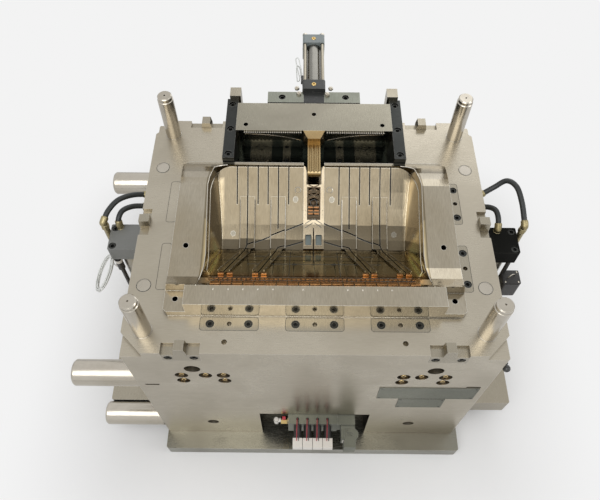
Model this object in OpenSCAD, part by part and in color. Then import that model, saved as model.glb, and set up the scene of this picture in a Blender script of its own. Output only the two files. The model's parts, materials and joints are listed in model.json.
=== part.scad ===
// Moving half of a large plastic injection mould, parting face up.
// Millimetres. X runs to the right, Y to the back, Z up from the underside of the clamp plate.

/* [Mould base] */
// width of the stacked plates
plate_w = 1080; // [1040:10:1200]
// depth of the stacked plates, front to back
plate_d = 860; // [840:10:960]
// rounding of the plates' upright edges
plate_r = 6; // [3:1:12]
// clamp plate thickness
clamp_t = 60; // [45:1:80]
// clamp plate overhang, front and back
clamp_lip = 65; // [50:1:80]
// height of the spacer blocks and so of the ejector box
spacer_h = 252; // [248:1:320]
// backing plate thickness
backing_t = 49; // [40:1:70]
// support plate thickness
support_t = 232; // [200:1:280]
// core plate thickness
core_t = 242; // [236:1:280]
// leg length of the pry recess at each corner
pry_leg = 62; // [50:1:75]
// depth of the pry recess
pry_t = 26; // [15:1:35]

/* [Guide pillars and return pins] */
// pillar radius
pillar_r = 25; // [20:0.5:28]
// pillar height above the parting face
pillar_h = 178; // [140:1:220]
// pillar axis from the plate's side
pillar_side = 61; // [56:1:65]
// front pillar axis from the plate's front face
pillar_front = 68; // [64:1:78]
// back pillar axis from the plate's back face
pillar_back = 62; // [58:1:78]
// radius of the pillar's head in the plate
pillar_head_r = 31; // [30:0.5:34]
// thickness of the pillar's head
pillar_head_t = 15; // [10:1:20]
// return pin radius
return_r = 20; // [14:0.5:22]
// return pin axis from the plate's side
return_side = 43; // [35:1:60]
// return pin distance from the centre, front and back
return_y = 220; // [150:1:235]
// running clearance round pins and rods
run_gap = 0.3; // [0.2:0.05:0.5]

/* [Core insert] */
// wall of the core plate beside the insert
side_wall = 108; // [104:1:115]
// wall of the core plate in front of the insert
front_wall = 110; // [108:1:120]
// what lies behind the insert, down to the plate's back face
back_wall = 183; // [175:1:190]
// corner radius of the insert
insert_r = 30; // [20:1:40]
// insert depth under the parting face
insert_t = 190; // [180:1:215]
// height of the ledge and shoulders over the parting face
insert_rise = 71; // [55:1:85]
// gap between an insert and its pocket
fit_gap = 0.3; // [0.2:0.05:0.5]
// depth of the trough's valley under the parting face
valley_t = 130; // [110:1:145]
// half width of the trough at the valley
trough_x = 296; // [280:1:304]
// groove width
groove_w = 4; // [2:0.5:5]
// groove depth
groove_t = 8; // [4:0.5:12]
// width of a raised strip in the trough
strip_w = 48; // [40:1:56]
// height of a raised strip
strip_t = 6; // [3:0.5:9]
// width of the centre insert
centre_w = 68; // [60:1:76]
// how far the centre insert stands proud of the trough
centre_rise = 5; // [2:0.5:8]
// width of the louvred insert
louvre_w = 44; // [36:1:50]

/* [Wear blocks and interlocks] */
// front wear block width
wear_w = 164; // [140:1:180]
// wear block depth, front to back
wear_d = 40; // [34:1:44]
// wear block thickness
wear_t = 40; // [25:1:60]
// spacing of the front wear blocks
wear_pitch = 240; // [215:1:250]
// side wear block width
side_wear_w = 29; // [27:1:31]
// side wear block length
side_wear_l = 158; // [140:1:166]
// interlock width
lock_w = 108; // [96:1:114]
// interlock depth, into the plate
lock_d = 31; // [26:1:32]
// interlock height
lock_h = 52; // [40:1:60]
// interlock's middle from the plate's side
lock_side = 170; // [155:1:185]
// width of a side interlock
side_lock_w = 97; // [90:1:104]
// width of the interlock's tongue
lock_tongue_w = 31; // [24:1:36]
// socket screw thread radius
screw_r = 8; // [6:0.5:8.5]

/* [Water connections] */
// counterbore radius round a nipple
port_r = 20; // [16:0.5:21]
// counterbore depth
port_t = 30; // [20:1:45]
// nipple radius
nipple_r = 8; // [6:0.5:10]
// hydraulic hose radius
hose_r = 8.7; // [6:0.1:10]

/* [Rear slide] */
// how much narrower the slide is than the insert
slide_less = 334; // [324:2:354]
// slide length at the top, front to back
slide_l = 127; // [115:1:135]
// depth of the slide pocket under the parting face
slide_t = 110; // [95:1:120]
// height of the slide over the parting face
slide_rise = 30; // [24:1:36]
// slide travel
slide_travel = 105; // [80:1:108]
// thickness of the wear strips under the slide
pad_t = 8; // [6:0.5:12]
// gib rail width
rail_w = 38; // [34:1:40]
// gib rail height over the parting face
rail_rise = 20; // [14:1:23]
// width of the tongue's root
tongue_w = 74; // [68:1:78]
// width of the fluted core pin
flute_w = 42; // [38:1:46]
// slide base depth behind the plate
base_l = 170; // [165:1:190]
// slide base thickness
base_t = 80; // [60:1:100]

/* [Hydraulic cylinders] */
// side of the slide cylinder's square caps
cyl_cap = 82; // [76:1:88]
// slide cylinder tube length
cyl_tube = 199; // [185:1:240]
// slide cylinder tube radius
cyl_tube_r = 32; // [28:0.5:33]
// slide cylinder rod radius
cyl_rod_r = 14; // [12:0.5:16]
// ejector cylinder head, across
head_w = 124; // [112:1:130]
// ejector cylinder head, front to back
head_d = 98; // [94:1:110]
// ejector cylinder head height
head_h = 60; // [50:1:70]
// ejector cylinder tube radius
eject_tube_r = 44; // [38:0.5:47]
// ejector cylinder rod radius
eject_rod_r = 18; // [15:0.5:20]
// ejector stroke
eject_travel = 120; // [80:1:130]

/* [Ejector box] */
// ejector plate width over both ears
eject_w = 1490; // [1450:2:1510]
// ejector plate depth
eject_d = 690; // [675:1:690]
// gap between an ejector plate and a spacer block
eject_gap = 1; // [0.5:0.5:2]
// ejector retainer plate thickness
retain_t = 35; // [28:1:40]
// ejector base plate thickness
eject_base_t = 50; // [40:1:55]
// stop button height
button_t = 20; // [15:1:25]
// ejector pin radius
pin_r = 8; // [5:0.5:10]

/* [Support legs] */
// leg radius
leg_r = 42; // [35:1:45]
// leg length beyond the plates
leg_l = 215; // [205:1:240]

/* [Valve set] */
// width of the valve pocket
bay_w = 385; // [365:1:400]
// wall of the front spacer behind the valve pocket
bay_wall = 14; // [12:1:24]
// valve spacing
valve_pitch = 34.6; // [34:0.1:36]
// coil width
coil_w = 27; // [24:0.5:28]

/* [Hidden] */
$fn = 48;
steel = [0.72, 0.71, 0.69];
dark = [0.12, 0.12, 0.13];
brass = [0.78, 0.62, 0.3];
cream = [0.9, 0.85, 0.72];
z_spacer = clamp_t;
z_backing = z_spacer + spacer_h;
z_support = z_backing + backing_t;
z_core = z_support + support_t;
zp = z_core + core_t;
front = -plate_d / 2;
back = plate_d / 2;
left = -plate_w / 2;
right = plate_w / 2;
clamp_shift = 9;
spacer_d = (plate_d - eject_d) / 2 - eject_gap;
bay_d = spacer_d - bay_wall;
bar_x = 354;
bar_r = 20;
bar_z = zp - 648;
pillar_x = plate_w / 2 - pillar_side;
pillar_yf = plate_d / 2 - pillar_front;
pillar_yb = plate_d / 2 - pillar_back;
return_x = plate_w / 2 - return_side;
lock_x = plate_w / 2 - lock_side;
insert_w = plate_w - 2 * side_wall;
insert_front = plate_d / 2 - front_wall;
insert_back = plate_d / 2 - back_wall;
slide_w = insert_w - slide_less;
pillar_seat_r = pillar_r + 1.5;
wear_y = -insert_front - wear_d / 2;
wear_screw_x = wear_w / 2 - 28;
side_wear_x = insert_w / 2 + side_wear_w / 2;
side_wear_at = [83, -154];
side_wear_screw_y = side_wear_l / 2 - 26;
lock_screw_in = 18;
lock_screw_z = -lock_h / 2 - 5;
thread_t = 18;
fold_y = -12;
insert_d = insert_front + insert_back;
insert_cy = (insert_back - insert_front) / 2;
wall_top = insert_back - 20;
ledge_front = -insert_front + 4;
ledge_back = ledge_front + 60;
wall_run = wall_top - fold_y;
shoulder_x = insert_w / 2 - 16;
notch_x = insert_w / 2 - 69;
louvre_y = insert_back - 167;
louvre_l = 92;
louvre_pitch = 14;
louvre_slots = 6;
jack_y = front + 35;
lock_tongue_h = 22;
lock_low = 12;
side_lock_y = 4;
screw_head_r = screw_r * 1.5;
screw_head_t = screw_r * 2;
screw_sink = 2;
slide_back = back + 59;
slide_front = slide_back - slide_l;
slide_strip_y = insert_back + 9;
// the wear strips beside the middle: centre, width, with a V-shaped oil groove
slide_strips = [[slide_w / 2 - 78, 76, true], [95, 28, false]];
pocket_w = slide_w + 2 * rail_w + 4 * run_gap;
rail_back = back + 88;
base_back = back + base_l;
base_z = zp - slide_t - base_t;
beam_y = back + 74;
beam_d = 52;
cap_t = 46;
cyl_z = zp - 5;
mount_w = 72;
cyl_y = beam_y + beam_d;
cyl_head_y = cyl_y + cap_t;
cyl_tail_y = cyl_head_y + cyl_tube;
head_x = right + head_w / 2;
head_y = 12;
hose_y = 40;
head_z = zp - 100 - head_h;
cylinder_l = 230;
foot_t = 45;
stud_r = 12;
eject_z = clamp_t + button_t;
ear_top = eject_z + eject_base_t + retain_t;
leg_zu = z_core - leg_r - 4;
leg_zl = zp - 690;
leg_yu = plate_d / 2 - 50;
leg_yl = eject_d / 2 + eject_gap + leg_r;
bay_x = 12;
bay_top = zp - 545;
bay_floor = clamp_t;
valve_x = 5;
valve_top = bay_top - 2;
fitting_y = front - 12;
fitting_z = valve_top - 30;
pins = [[60, 140], [265, 40], [60, -120]];
supports = [[-300, -200], [300, -200], [-300, 200], [300, 200]];
switch_x = head_x + 48;
switch_y = head_y - 37;
switch_pipe_r = 7;
switch_r = 12;
reed_x = -cyl_cap / 2 + 9 - 6 - 4.3;
reed_l = 30;
cable_r = 2;
coil_r = 62;
coil_bundle_r = 8;
coil_lean = 54;
coil_at = [-705, -48, -232];
lever_x = 143;
lever_y = front - 66;
lever_r = 20;
lever_t = 4;
// the cables' routes, height over the parting face
sensor_route = [[-662.3, -25, -222], [-668, -24, -222], [-673.5, -20.5, -221.5], [-678.5, -14, -219.5],
    [-682, -7, -216.5], [-684, 0, -213.6]];
slide_route = [[-42.3, 632.6, 20], [-42.5, 640, 20.5], [-44, 652, 22], [-46, 668, 24], [-49, 684, 26],
    [-52, 700, 27], [-54, 714, 27], [-57, 724, 26], [-61, 729, 24], [-65, 728, 22], [-66, 720, 20],
    [-64, 706, 18], [-61, 690, 16], [-58, 672, 14], [-55, 656, 12], [-52, 644, 10], [-51, 636, 7],
    [-53, 630, 4], [-57, 629, 2], [-60, 634, 0], [-61, 646, -1], [-62, 664, -1], [-63, 684, 0],
    [-63, 700, 1], [-61, 710, 0], [-57, 714, -2], [-53, 711, -4], [-50, 700, -5], [-48, 684, -5],
    [-46, 664, -5], [-43.5, 644, -5], [-41, 626, -5], [-39.5, 614, -5], [-38.5, 606, -5],
    [-38.3, 602.4, -5]];

clamp_plate();
spacer_front();
spacer_back();
backing_plate();
support_plate();
core_plate();
core_insert();
centre_insert();
louvre_insert();
guide_pillar_front_left();
guide_pillar_front_right();
guide_pillar_back_left();
guide_pillar_back_right();
interlocks_long();
interlocks_side();
wear_blocks_front();
wear_blocks_side();
socket_screws();
water_nipples();
gib_rail_left();
gib_rail_right();
stop_blocks();
slide_base();
cylinder_beam();
cylinder_mount();
slide_cylinder_head();
slide_cylinder_tube();
slide_cylinder_cap();
slide_cylinder_ties();
slide_body();
slide_tongue();
slide_rod();
ejector_cylinder_left();
ejector_cylinder_right();
ejector_tube_left();
ejector_tube_right();
ejector_foot_left();
ejector_foot_right();
hoses_left();
hoses_right();
limit_switches();
sensor_cable();
sensor_cable_coil();
slide_cable();
ejector_base_plate();
ejector_retainer_plate();
return_pins();
ejector_pins();
ejector_rods();
stop_buttons();
support_pillars();
support_legs();
valve_manifold();
valve_coils();
valve_plugs();
connector_base();
connector_hood();
connector_lever();
nameplates();
ball_stud();

// Shared shapes

// a plate with rounded upright edges, centred in X and Y
module rounded_plate(w, d, h, r) {
    linear_extrude(h) union() {
        square([w - 2 * r, d], center = true);
        square([w, d - 2 * r], center = true);
        for (sx = [-1, 1]) for (sy = [-1, 1]) {
            translate([sx * (w / 2 - r), sy * (d / 2 - r)]) circle(r);
        }
    }
}

// a bore or pin along Z
module post(x, y, z0, z1, r) {
    translate([x, y, z0]) cylinder(r = r, h = z1 - z0);
}

// a bore or pin along Y, from y0 towards the back
module rod_y(x, y0, y1, z, r) {
    translate([x, y1, z]) rotate([90, 0, 0]) cylinder(r = r, h = y1 - y0);
}

// a bore or pin along X
module rod_x(x0, x1, y, z, r) {
    translate([x0, y, z]) rotate([0, 90, 0]) cylinder(r = r, h = x1 - x0);
}

// a hexagon socket screw standing with its head's top at the origin
module socket_screw(l) {
    difference() {
        union() {
            translate([0, 0, -screw_head_t]) cylinder(r = screw_head_r, h = screw_head_t);
            translate([0, 0, -screw_head_t - l]) cylinder(r = screw_r, h = l + 0.5);
        }
        translate([0, 0, -screw_r]) cylinder(r = screw_r * 0.85, h = screw_r + 1, $fn = 6);
    }
}

// the hole that such a screw needs, counterbored
module screw_hole(l) {
    translate([0, 0, -screw_head_t]) cylinder(r = screw_head_r + fit_gap, h = screw_head_t + 20);
    translate([0, 0, -screw_head_t - l - 1]) cylinder(r = screw_r + fit_gap, h = l + 2);
}

// pins and return pins run through every plate above the ejector box
module pin_bores(z0, z1) {
    for (p = pins) for (s = [-1, 1]) post(s * p[0], p[1], z0, z1, pin_r + run_gap);
    for (sx = [-1, 1]) for (sy = [-1, 1]) post(sx * return_x, sy * return_y, z0, z1, return_r + run_gap);
}

// Plates

module clamp_plate() {
    color(steel) difference() {
        translate([clamp_shift, 0, 0])
            rounded_plate(plate_w + 2 * clamp_shift, plate_d + 2 * clamp_lip, clamp_t, 10);
        post(0, 0, -1, clamp_t + 1, 50);
        for (sx = [-1, 1]) for (sy = [-1, 1]) {
            translate([sx * bar_x, sy * (plate_d / 2 - spacer_d / 2), -1]) cylinder(r = bar_r, h = 31);
        }
    }
}

module spacer_block() {
    translate([0, 0, z_spacer]) rounded_plate(plate_w, spacer_d, spacer_h, plate_r);
}

module spacer_front() {
    color(steel) difference() {
        translate([0, front + spacer_d / 2, 0]) spacer_block();
        translate([bay_x - bay_w / 2, front - 1, bay_floor - 1])
            cube([bay_w, bay_d + 1, bay_top - bay_floor + 1]);
        for (s = [-1, 1]) rod_y(s * bar_x, front - 1, front + spacer_d / 2, bar_z, bar_r);
        rod_x(left - 1, left + 30, -leg_yl, leg_zl, stud_r + fit_gap);
    }
}

module spacer_back() {
    color(steel) difference() {
        translate([0, back - spacer_d / 2, 0]) spacer_block();
        for (s = [-1, 1]) rod_y(s * bar_x, back - spacer_d / 2, back + 1, bar_z, bar_r);
        rod_x(left - 1, left + 30, leg_yl, leg_zl, stud_r + fit_gap);
    }
}

module backing_plate() {
    color(steel) difference() {
        translate([0, 0, z_backing]) rounded_plate(plate_w, plate_d, backing_t, plate_r);
        pin_bores(z_backing - 1, z_support + 1);
    }
}

module support_plate() {
    color(steel) difference() {
        translate([0, 0, z_support]) rounded_plate(plate_w, plate_d, support_t, plate_r);
        pin_bores(z_support - 1, z_core + 1);
        for (s = [-1, 1]) {
            rod_x(left - 1, left + 30, s * leg_yu, leg_zu, stud_r + fit_gap);
            translate([s * (plate_w / 2 - 46), front - 1, z_core - 9]) cube([44, 16, 10], center = true);
        }
    }
}

module pry_corner(sx, sy) {
    translate([sx * plate_w / 2, sy * plate_d / 2, zp - pry_t]) linear_extrude(pry_t + 1)
        polygon([[sx * 2, sy * 2], [-sx * pry_leg, sy * 2], [-sx * pry_leg, 0], [0, -sy * pry_leg],
            [sx * 2, -sy * pry_leg]]);
}

// the lower part of a long interlock's pocket, open at the plate's edge
module lock_pocket(sx, sy) {
    translate([sx * lock_x, sy * (plate_d / 2 - lock_d / 2 + 1), zp - lock_h / 2 + 1])
        cube([lock_w + 2 * fit_gap, lock_d + 2 + 2 * fit_gap, lock_h + 2], center = true);
}

// the thread of a wear block's screw, under its pocket
module wear_thread(x, y) {
    post(x, y, zp - wear_t - thread_t, zp - wear_t + 1, screw_r + fit_gap);
}

module core_plate() {
    color(steel) difference() {
        translate([0, 0, z_core]) rounded_plate(plate_w, plate_d, core_t, plate_r);
        translate([0, insert_cy, zp - insert_t]) rounded_plate(insert_w, insert_d, insert_t + 1, insert_r);
        translate([-pocket_w / 2, insert_back - insert_r, zp - slide_t])
            cube([pocket_w, plate_d, slide_t + 1]);
        for (s = [-1, 1]) for (t = slide_strips)
            translate([s * t[0] - t[1] / 2 - fit_gap, slide_strip_y - fit_gap, zp - slide_t - pad_t])
                cube([t[1] + 2 * fit_gap, back - slide_strip_y + 2, pad_t + 1]);
        for (sx = [-1, 1]) for (sy = [-1, 1]) {
            pry_corner(sx, sy);
            lock_pocket(sx, sy);
        }
        for (sx = [-1, 1]) {
            translate([sx * (plate_w / 2 - lock_d / 2 + 1), side_lock_y, zp - lock_h / 2 + 1])
                cube([lock_d + 2 + 2 * fit_gap, side_lock_w + 2 * fit_gap, lock_h + 2], center = true);
            for (y = [-pillar_yf, pillar_yb]) {
                post(sx * pillar_x, y, z_core - 1, zp + 1, pillar_seat_r + fit_gap);
                post(sx * pillar_x, y, z_core - 1, z_core + pillar_head_t + fit_gap, pillar_head_r + fit_gap);
            }
        }
        for (i = [-1, 0, 1]) {
            translate([i * wear_pitch, wear_y + 1, zp - wear_t])
                rounded_plate(wear_w + 2 * fit_gap, wear_d + 2 + 2 * fit_gap, wear_t + 1, 8);
        }
        for (y = side_wear_at) {
            translate([side_wear_x - 1, y, zp - wear_t])
                rounded_plate(side_wear_w + 2 + 2 * fit_gap, side_wear_l + 2 * fit_gap, wear_t + 1, 8);
        }
        for (s = [-1, 1]) {
            for (p = port_places()) rod_y(s * p[0], front - 1, front + port_t, zp + p[1], port_r);
            for (p = port_places()) rod_y(s * p[0], front, front + port_t + 20, zp + p[1], nipple_r - 2);
            rod_y(s * 352, front - 1, front + 45, zp - 116, 24);
            post(s * 250, jack_y, zp - 30, zp + 1, 8);
        }
        pin_bores(z_core - 1, zp + 1);
        for (i = [-1, 0, 1]) for (s = [-1, 1])
            wear_thread(i * wear_pitch + s * wear_screw_x, wear_y);
        for (y = side_wear_at) for (s = [-1, 1]) wear_thread(side_wear_x, y + s * side_wear_screw_y);
        for (sx = [-1, 1]) for (s = [-1, 1])
            rod_y(sx * lock_x + s * (lock_w / 2 - lock_screw_in), front + lock_d - 1,
                front + lock_d + thread_t, zp + lock_screw_z, screw_r + fit_gap);
    }
}

function port_places() = [[391, -168], [391, -212], [320, -168], [267, -168], [267, -212]];

// Core insert

// side outline of the insert, as Y and height over the parting face
function insert_side() = [[-plate_d, -insert_t], [-plate_d, 0], [ledge_front, 0], [ledge_front, insert_rise],
    [ledge_back, insert_rise], [ledge_back + 18, insert_rise * 0.72], [ledge_back + 50, insert_rise * 0.42],
    [ledge_back + 90, insert_rise * 0.3], [ledge_back + 130, insert_rise * 0.34],
    [insert_back - 149, insert_rise],
    [insert_back - 115, insert_rise * 0.88], [insert_back - 77, insert_rise * 0.62],
    [insert_back - 39, insert_rise * 0.32], [insert_back - 8, 0],
    [plate_d, 0], [plate_d, -insert_t]];

// the trough's own outline, from its back edge down to the valley and up to the ledge
function trough_side() = [[wall_top, 200], [wall_top, 0], [wall_top - wall_run * 0.117, -valley_t * 0.15],
    [wall_top - wall_run * 0.276, -valley_t * 0.36], [wall_top - wall_run * 0.469, -valley_t * 0.59],
    [wall_top - wall_run * 0.669, -valley_t * 0.8], [wall_top - wall_run * 0.858, -valley_t * 0.95],
    [wall_top - wall_run * 0.95, -valley_t], [fold_y, -valley_t],
    [fold_y - 16, -valley_t * 0.93], [ledge_back, insert_rise], [ledge_back, 200]];

// a solid of an outline in Y and Z, drawn along X about the centre
module along_x(outline, w) {
    translate([-w / 2, 0, zp]) rotate([90, 0, 90]) linear_extrude(w) polygon(outline);
}

module trough_profile(drop = 0) {
    translate([0, 0, -drop]) along_x(trough_side(), 2 * insert_w);
}

// what bounds the trough sideways: leaning end walls, wider in front
module trough_ends() {
    intersection() {
        union() {
            translate([0, plate_d, zp]) rotate([90, 0, 0]) linear_extrude(2 * plate_d)
                polygon([[-trough_x, -valley_t - 20], [trough_x, -valley_t - 20],
                    [trough_x + 40, 110], [-trough_x - 40, 110]]);
            translate([0, 0, zp - 200]) linear_extrude(400)
                polygon([[-trough_x - 6, fold_y], [trough_x + 6, fold_y],
                    [trough_x + 36, ledge_back + 40], [trough_x + 36, ledge_back],
                    [-trough_x - 36, ledge_back], [-trough_x - 36, ledge_back + 40]]);
        }
        translate([0, wall_top - 300, zp - 300]) rounded_plate(2 * (trough_x + 38), 600, 600, 60);
    }
}

// a thin upright slab between two points in plan
module slab(p, q, w) {
    dx = q[0] - p[0];
    dy = q[1] - p[1];
    l = sqrt(dx * dx + dy * dy);
    translate([p[0], p[1], zp - 220]) rotate([0, 0, atan2(dy, dx)])
        translate([0, -w / 2, 0]) cube([l, w, 400]);
}

module raised_strips() {
    difference() {
        for (s = [-1, 1]) {
            slab([s * 218, 145], [s * 218, fold_y], strip_w);
            slab([s * 117, 145], [s * 117, fold_y], strip_w);
            slab([s * 218, fold_y + 6], [s * 268, -177], strip_w * 0.7);
            slab([s * 117, fold_y + 6], [s * 166, -177], strip_w * 0.7);
        }
        trough_profile(-strip_t);
    }
}

module grooves() {
    difference() {
        union() {
            for (s = [-1, 1]) {
                for (x = [253, 184, 151, 83]) slab([s * x, wall_top + 5], [s * x, 125], groove_w);
                slab([s * 218, wall_top + 5], [s * 218, 0], groove_w);
                slab([s * 117, wall_top + 5], [s * 117, 52], groove_w);
                slab([s * 34, 72], [s * 218, 2], groove_w);
                slab([s * 34, 16], [s * 117, -8], groove_w);
                slab([s * 218, 0], [s * 270, -190], groove_w);
                slab([s * 117, -8], [s * 168, -190], groove_w);
            }
            slab([-300, -92], [300, -92], groove_w);
            slab([-310, -198], [310, -198], groove_w);
            for (i = [-4:4]) slab([i * 31, -92], [i * 31, -198], groove_w * 0.75);
        }
        // what stays is only as deep as a groove
        translate([0, 0, zp - 400 - valley_t - groove_t])
            cube([2 * plate_w, 2 * plate_d, 400], center = true);
        along_x(under_floor(-groove_t), 2 * insert_w);
    }
}

// what lies under the trough's floor, or under a line that much higher, front to back
function under_floor(rise) = concat([[plate_d, -300], [-plate_d, -300], [-plate_d, 60]],
    [for (i = [10:-1:1]) [trough_side()[i][0], trough_side()[i][1] + rise]]);

// height of the trough's back wall over the parting face
function wall_height(y) = lookup(y, [for (i = [1:8]) trough_side()[i]]);

module insert_blank() {
    intersection() {
        translate([0, insert_cy, zp - insert_t])
            rounded_plate(insert_w - 2 * fit_gap, insert_d - 2 * fit_gap, insert_t + 120,
                insert_r - fit_gap);
        along_x(insert_side(), 2 * insert_w);
        translate([0, plate_d, zp]) rotate([90, 0, 0]) linear_extrude(2 * plate_d)
            polygon([[-insert_w, -insert_t], [insert_w, -insert_t], [insert_w, 0],
                [insert_w / 2 - fit_gap, 0], [shoulder_x, insert_rise], [shoulder_x, 200],
                [-shoulder_x, 200], [-shoulder_x, insert_rise], [-insert_w / 2 + fit_gap, 0],
                [-insert_w, 0]]);
    }
}

module core_insert() {
    color(steel) difference() {
        insert_blank();
        difference() {
            intersection() {
                trough_profile();
                trough_ends();
            }
            raised_strips();
        }
        intersection() {
            grooves();
            trough_ends();
        }
        for (s = [-1, 1]) {
            translate([s * (notch_x + 50), ledge_front + 26, zp + 25 + 100])
                cube([100, 80, 200], center = true);
            post(s * (notch_x + 32), ledge_front + 40, zp - 40, zp + 30, 8);
            post(s * (notch_x + 20), -100, zp - 20, zp + 100, 8);
        }
        translate([-centre_w / 2, fold_y, zp - 165]) cube([centre_w, insert_back - fold_y + 1, 300]);
        pin_bores(zp - insert_t - 1, zp + 100);
    }
}

// the block in the middle of the back wall, with the tongue's arch, two windows and a slit
module centre_insert() {
    g = fit_gap;
    color(cream) difference() {
        intersection() {
            translate([-centre_w / 2 + g, fold_y + g, zp - 165 + g])
                cube([centre_w - 2 * g, insert_back - g - fold_y - g, 300]);
            along_x(under_floor(centre_rise), centre_w);
        }
        translate([-louvre_w / 2 - g, louvre_y - g, zp - 140])
            cube([louvre_w + 2 * g, louvre_l + 2 * g, 200]);
        translate([-flute_w / 2 - 4, insert_back - 69, zp - 50]) cube([flute_w + 8, 100, 100]);
        translate([0, 0, zp - 24]) linear_extrude(100)
            polygon([[-tongue_w / 2, insert_back + 1], [tongue_w / 2, insert_back + 1],
                [flute_w / 2 + 3, insert_back - 36], [-flute_w / 2 - 3, insert_back - 36]]);
        for (s = [-1, 1]) translate([s * 17 - 10, fold_y + 14, zp - 160]) cube([20, 36, 48]);
        translate([-groove_w / 2, fold_y - 2, zp - 180]) cube([groove_w, 70, 200]);
    }
}

// the dark louvred block set into the centre insert
module louvre_insert() {
    color(dark) difference() {
        intersection() {
            translate([-louvre_w / 2, louvre_y, zp - 140 + fit_gap]) cube([louvre_w, louvre_l, 200]);
            along_x(under_floor(centre_rise), louvre_w);
        }
        for (i = [0:louvre_slots - 1]) let (y = louvre_y + 12 + i * louvre_pitch)
            translate([0, y, zp + wall_height(y) - 2]) rotate([-30, 0, 0])
                cube([louvre_w - 8, louvre_pitch / 2, 30], center = true);
    }
}

// Guide pillars: a head in the plate, a ground shank and a lead-in with an oil groove
module guide_pillar(x, y) {
    color(steel) translate([x, y, z_core]) rotate_extrude() polygon([[0, 0], [pillar_head_r, 0],
        [pillar_head_r, pillar_head_t], [pillar_seat_r, pillar_head_t], [pillar_seat_r, core_t],
        [pillar_r, core_t], [pillar_r, core_t + pillar_h - 16],
        [pillar_r - 2, core_t + pillar_h - 14], [pillar_r - 2, core_t + pillar_h - 3],
        [pillar_r - 5, core_t + pillar_h], [3, core_t + pillar_h], [3, core_t + pillar_h - 8],
        [0, core_t + pillar_h - 8]]);
}

module guide_pillar_front_left() {
    guide_pillar(-pillar_x, -pillar_yf);
}

module guide_pillar_front_right() {
    guide_pillar(pillar_x, -pillar_yf);
}

module guide_pillar_back_left() {
    guide_pillar(-pillar_x, pillar_yb);
}

module guide_pillar_back_right() {
    guide_pillar(pillar_x, pillar_yb);
}

// Interlocks: a screwed block with a tapered tongue; its face looks along -Y
module interlock(w) {
    difference() {
        union() {
            translate([-w / 2, 0, -lock_h]) cube([w, lock_d, lock_h - lock_low]);
            translate([0, lock_d, 0]) rotate([90, 0, 0]) linear_extrude(lock_d)
                polygon([[-lock_tongue_w / 2 - 2, -lock_low - 1], [lock_tongue_w / 2 + 2, -lock_low - 1],
                    [lock_tongue_w / 2 + 2, 0], [lock_tongue_w / 2 - 2, lock_tongue_h],
                    [-lock_tongue_w / 2 + 2, lock_tongue_h], [-lock_tongue_w / 2 - 2, 0]]);
        }
        for (s = [-1, 1]) translate([s * (w / 2 - lock_screw_in), screw_sink, lock_screw_z])
            rotate([90, 0, 0]) screw_hole(40);
    }
}

module interlocks_long() {
    color(steel) for (s = [-1, 1]) {
        translate([s * lock_x, front, zp]) interlock(lock_w);
        translate([s * lock_x, back, zp]) rotate([0, 0, 180]) interlock(lock_w);
    }
}

module interlocks_side() {
    color(steel) for (s = [-1, 1]) translate([s * plate_w / 2, side_lock_y, zp])
        rotate([0, 0, s * 90]) interlock(side_lock_w);
}

module wear_blocks_front() {
    color(steel) difference() {
        for (i = [-1, 0, 1]) translate([i * wear_pitch, wear_y - fit_gap, zp - wear_t])
            rounded_plate(wear_w, wear_d, wear_t, 8 - fit_gap);
        for (i = [-1, 0, 1]) {
            for (s = [-1, 1]) translate([i * wear_pitch + s * wear_screw_x, wear_y, zp - screw_sink])
                screw_hole(40);
            post(i * wear_pitch, wear_y, zp - 20, zp + 1, 7);
        }
    }
}

module wear_blocks_side() {
    color(steel) difference() {
        for (y = side_wear_at) translate([side_wear_x + fit_gap, y, zp - wear_t])
            rounded_plate(side_wear_w, side_wear_l, wear_t, 8 - fit_gap);
        for (y = side_wear_at) {
            for (s = [-1, 1]) translate([side_wear_x, y + s * side_wear_screw_y, zp - screw_sink])
                screw_hole(40);
            post(side_wear_x, y, zp - 20, zp + 1, 7);
        }
    }
}

// every socket screw that shows, each in its own counterbore
module socket_screws() {
    short = wear_t + 14 - screw_head_t;
    color(dark) {
        for (i = [-1, 0, 1]) for (s = [-1, 1])
            translate([i * wear_pitch + s * wear_screw_x, wear_y, zp - screw_sink]) socket_screw(short);
        for (y = side_wear_at) for (s = [-1, 1])
            translate([side_wear_x, y + s * side_wear_screw_y, zp - screw_sink]) socket_screw(short);
        for (sx = [-1, 1]) for (s = [-1, 1])
            translate([sx * lock_x + s * (lock_w / 2 - lock_screw_in), front + screw_sink,
                zp + lock_screw_z]) rotate([90, 0, 0]) socket_screw(lock_d + 14 - screw_head_t);
    }
}

// brass nipples at the bottom of their counterbores
module water_nipples() {
    color(brass) for (s = [-1, 1]) for (p = port_places())
        translate([s * p[0], front + port_t, zp + p[1]]) rotate([90, 0, 0]) rotate_extrude()
            polygon([[4, 0], [nipple_r + 4, 0], [nipple_r + 4, 6], [nipple_r, 7], [nipple_r, 16],
                [nipple_r - 1.5, 18], [nipple_r - 1.5, 22], [nipple_r, 24], [nipple_r - 1, 27], [4, 27]]);
}

// Rear slide and its hydraulic cylinder

module gib_rail(s) {
    w = rail_w;
    color(dark) difference() {
        translate([s * (slide_w / 2 + run_gap + w / 2) - w / 2, insert_back + 2, zp - slide_t])
            cube([w, rail_back - insert_back - 2, slide_t + rail_rise]);
        for (y = [insert_back + 20, insert_back + 130, rail_back - 26])
            translate([s * (slide_w / 2 + run_gap + w / 2), y, zp + rail_rise - 2]) screw_hole(60);
    }
}

module gib_rail_left() {
    gib_rail(-1);
}

module gib_rail_right() {
    gib_rail(1);
}

module stop_blocks() {
    color(steel) for (s = [-1, 1])
        translate([s * (slide_w / 2 + rail_w / 2 - 8) - 19, rail_back, zp - slide_t])
            cube([38, 42, slide_t + rail_rise + 15]);
}

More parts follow.
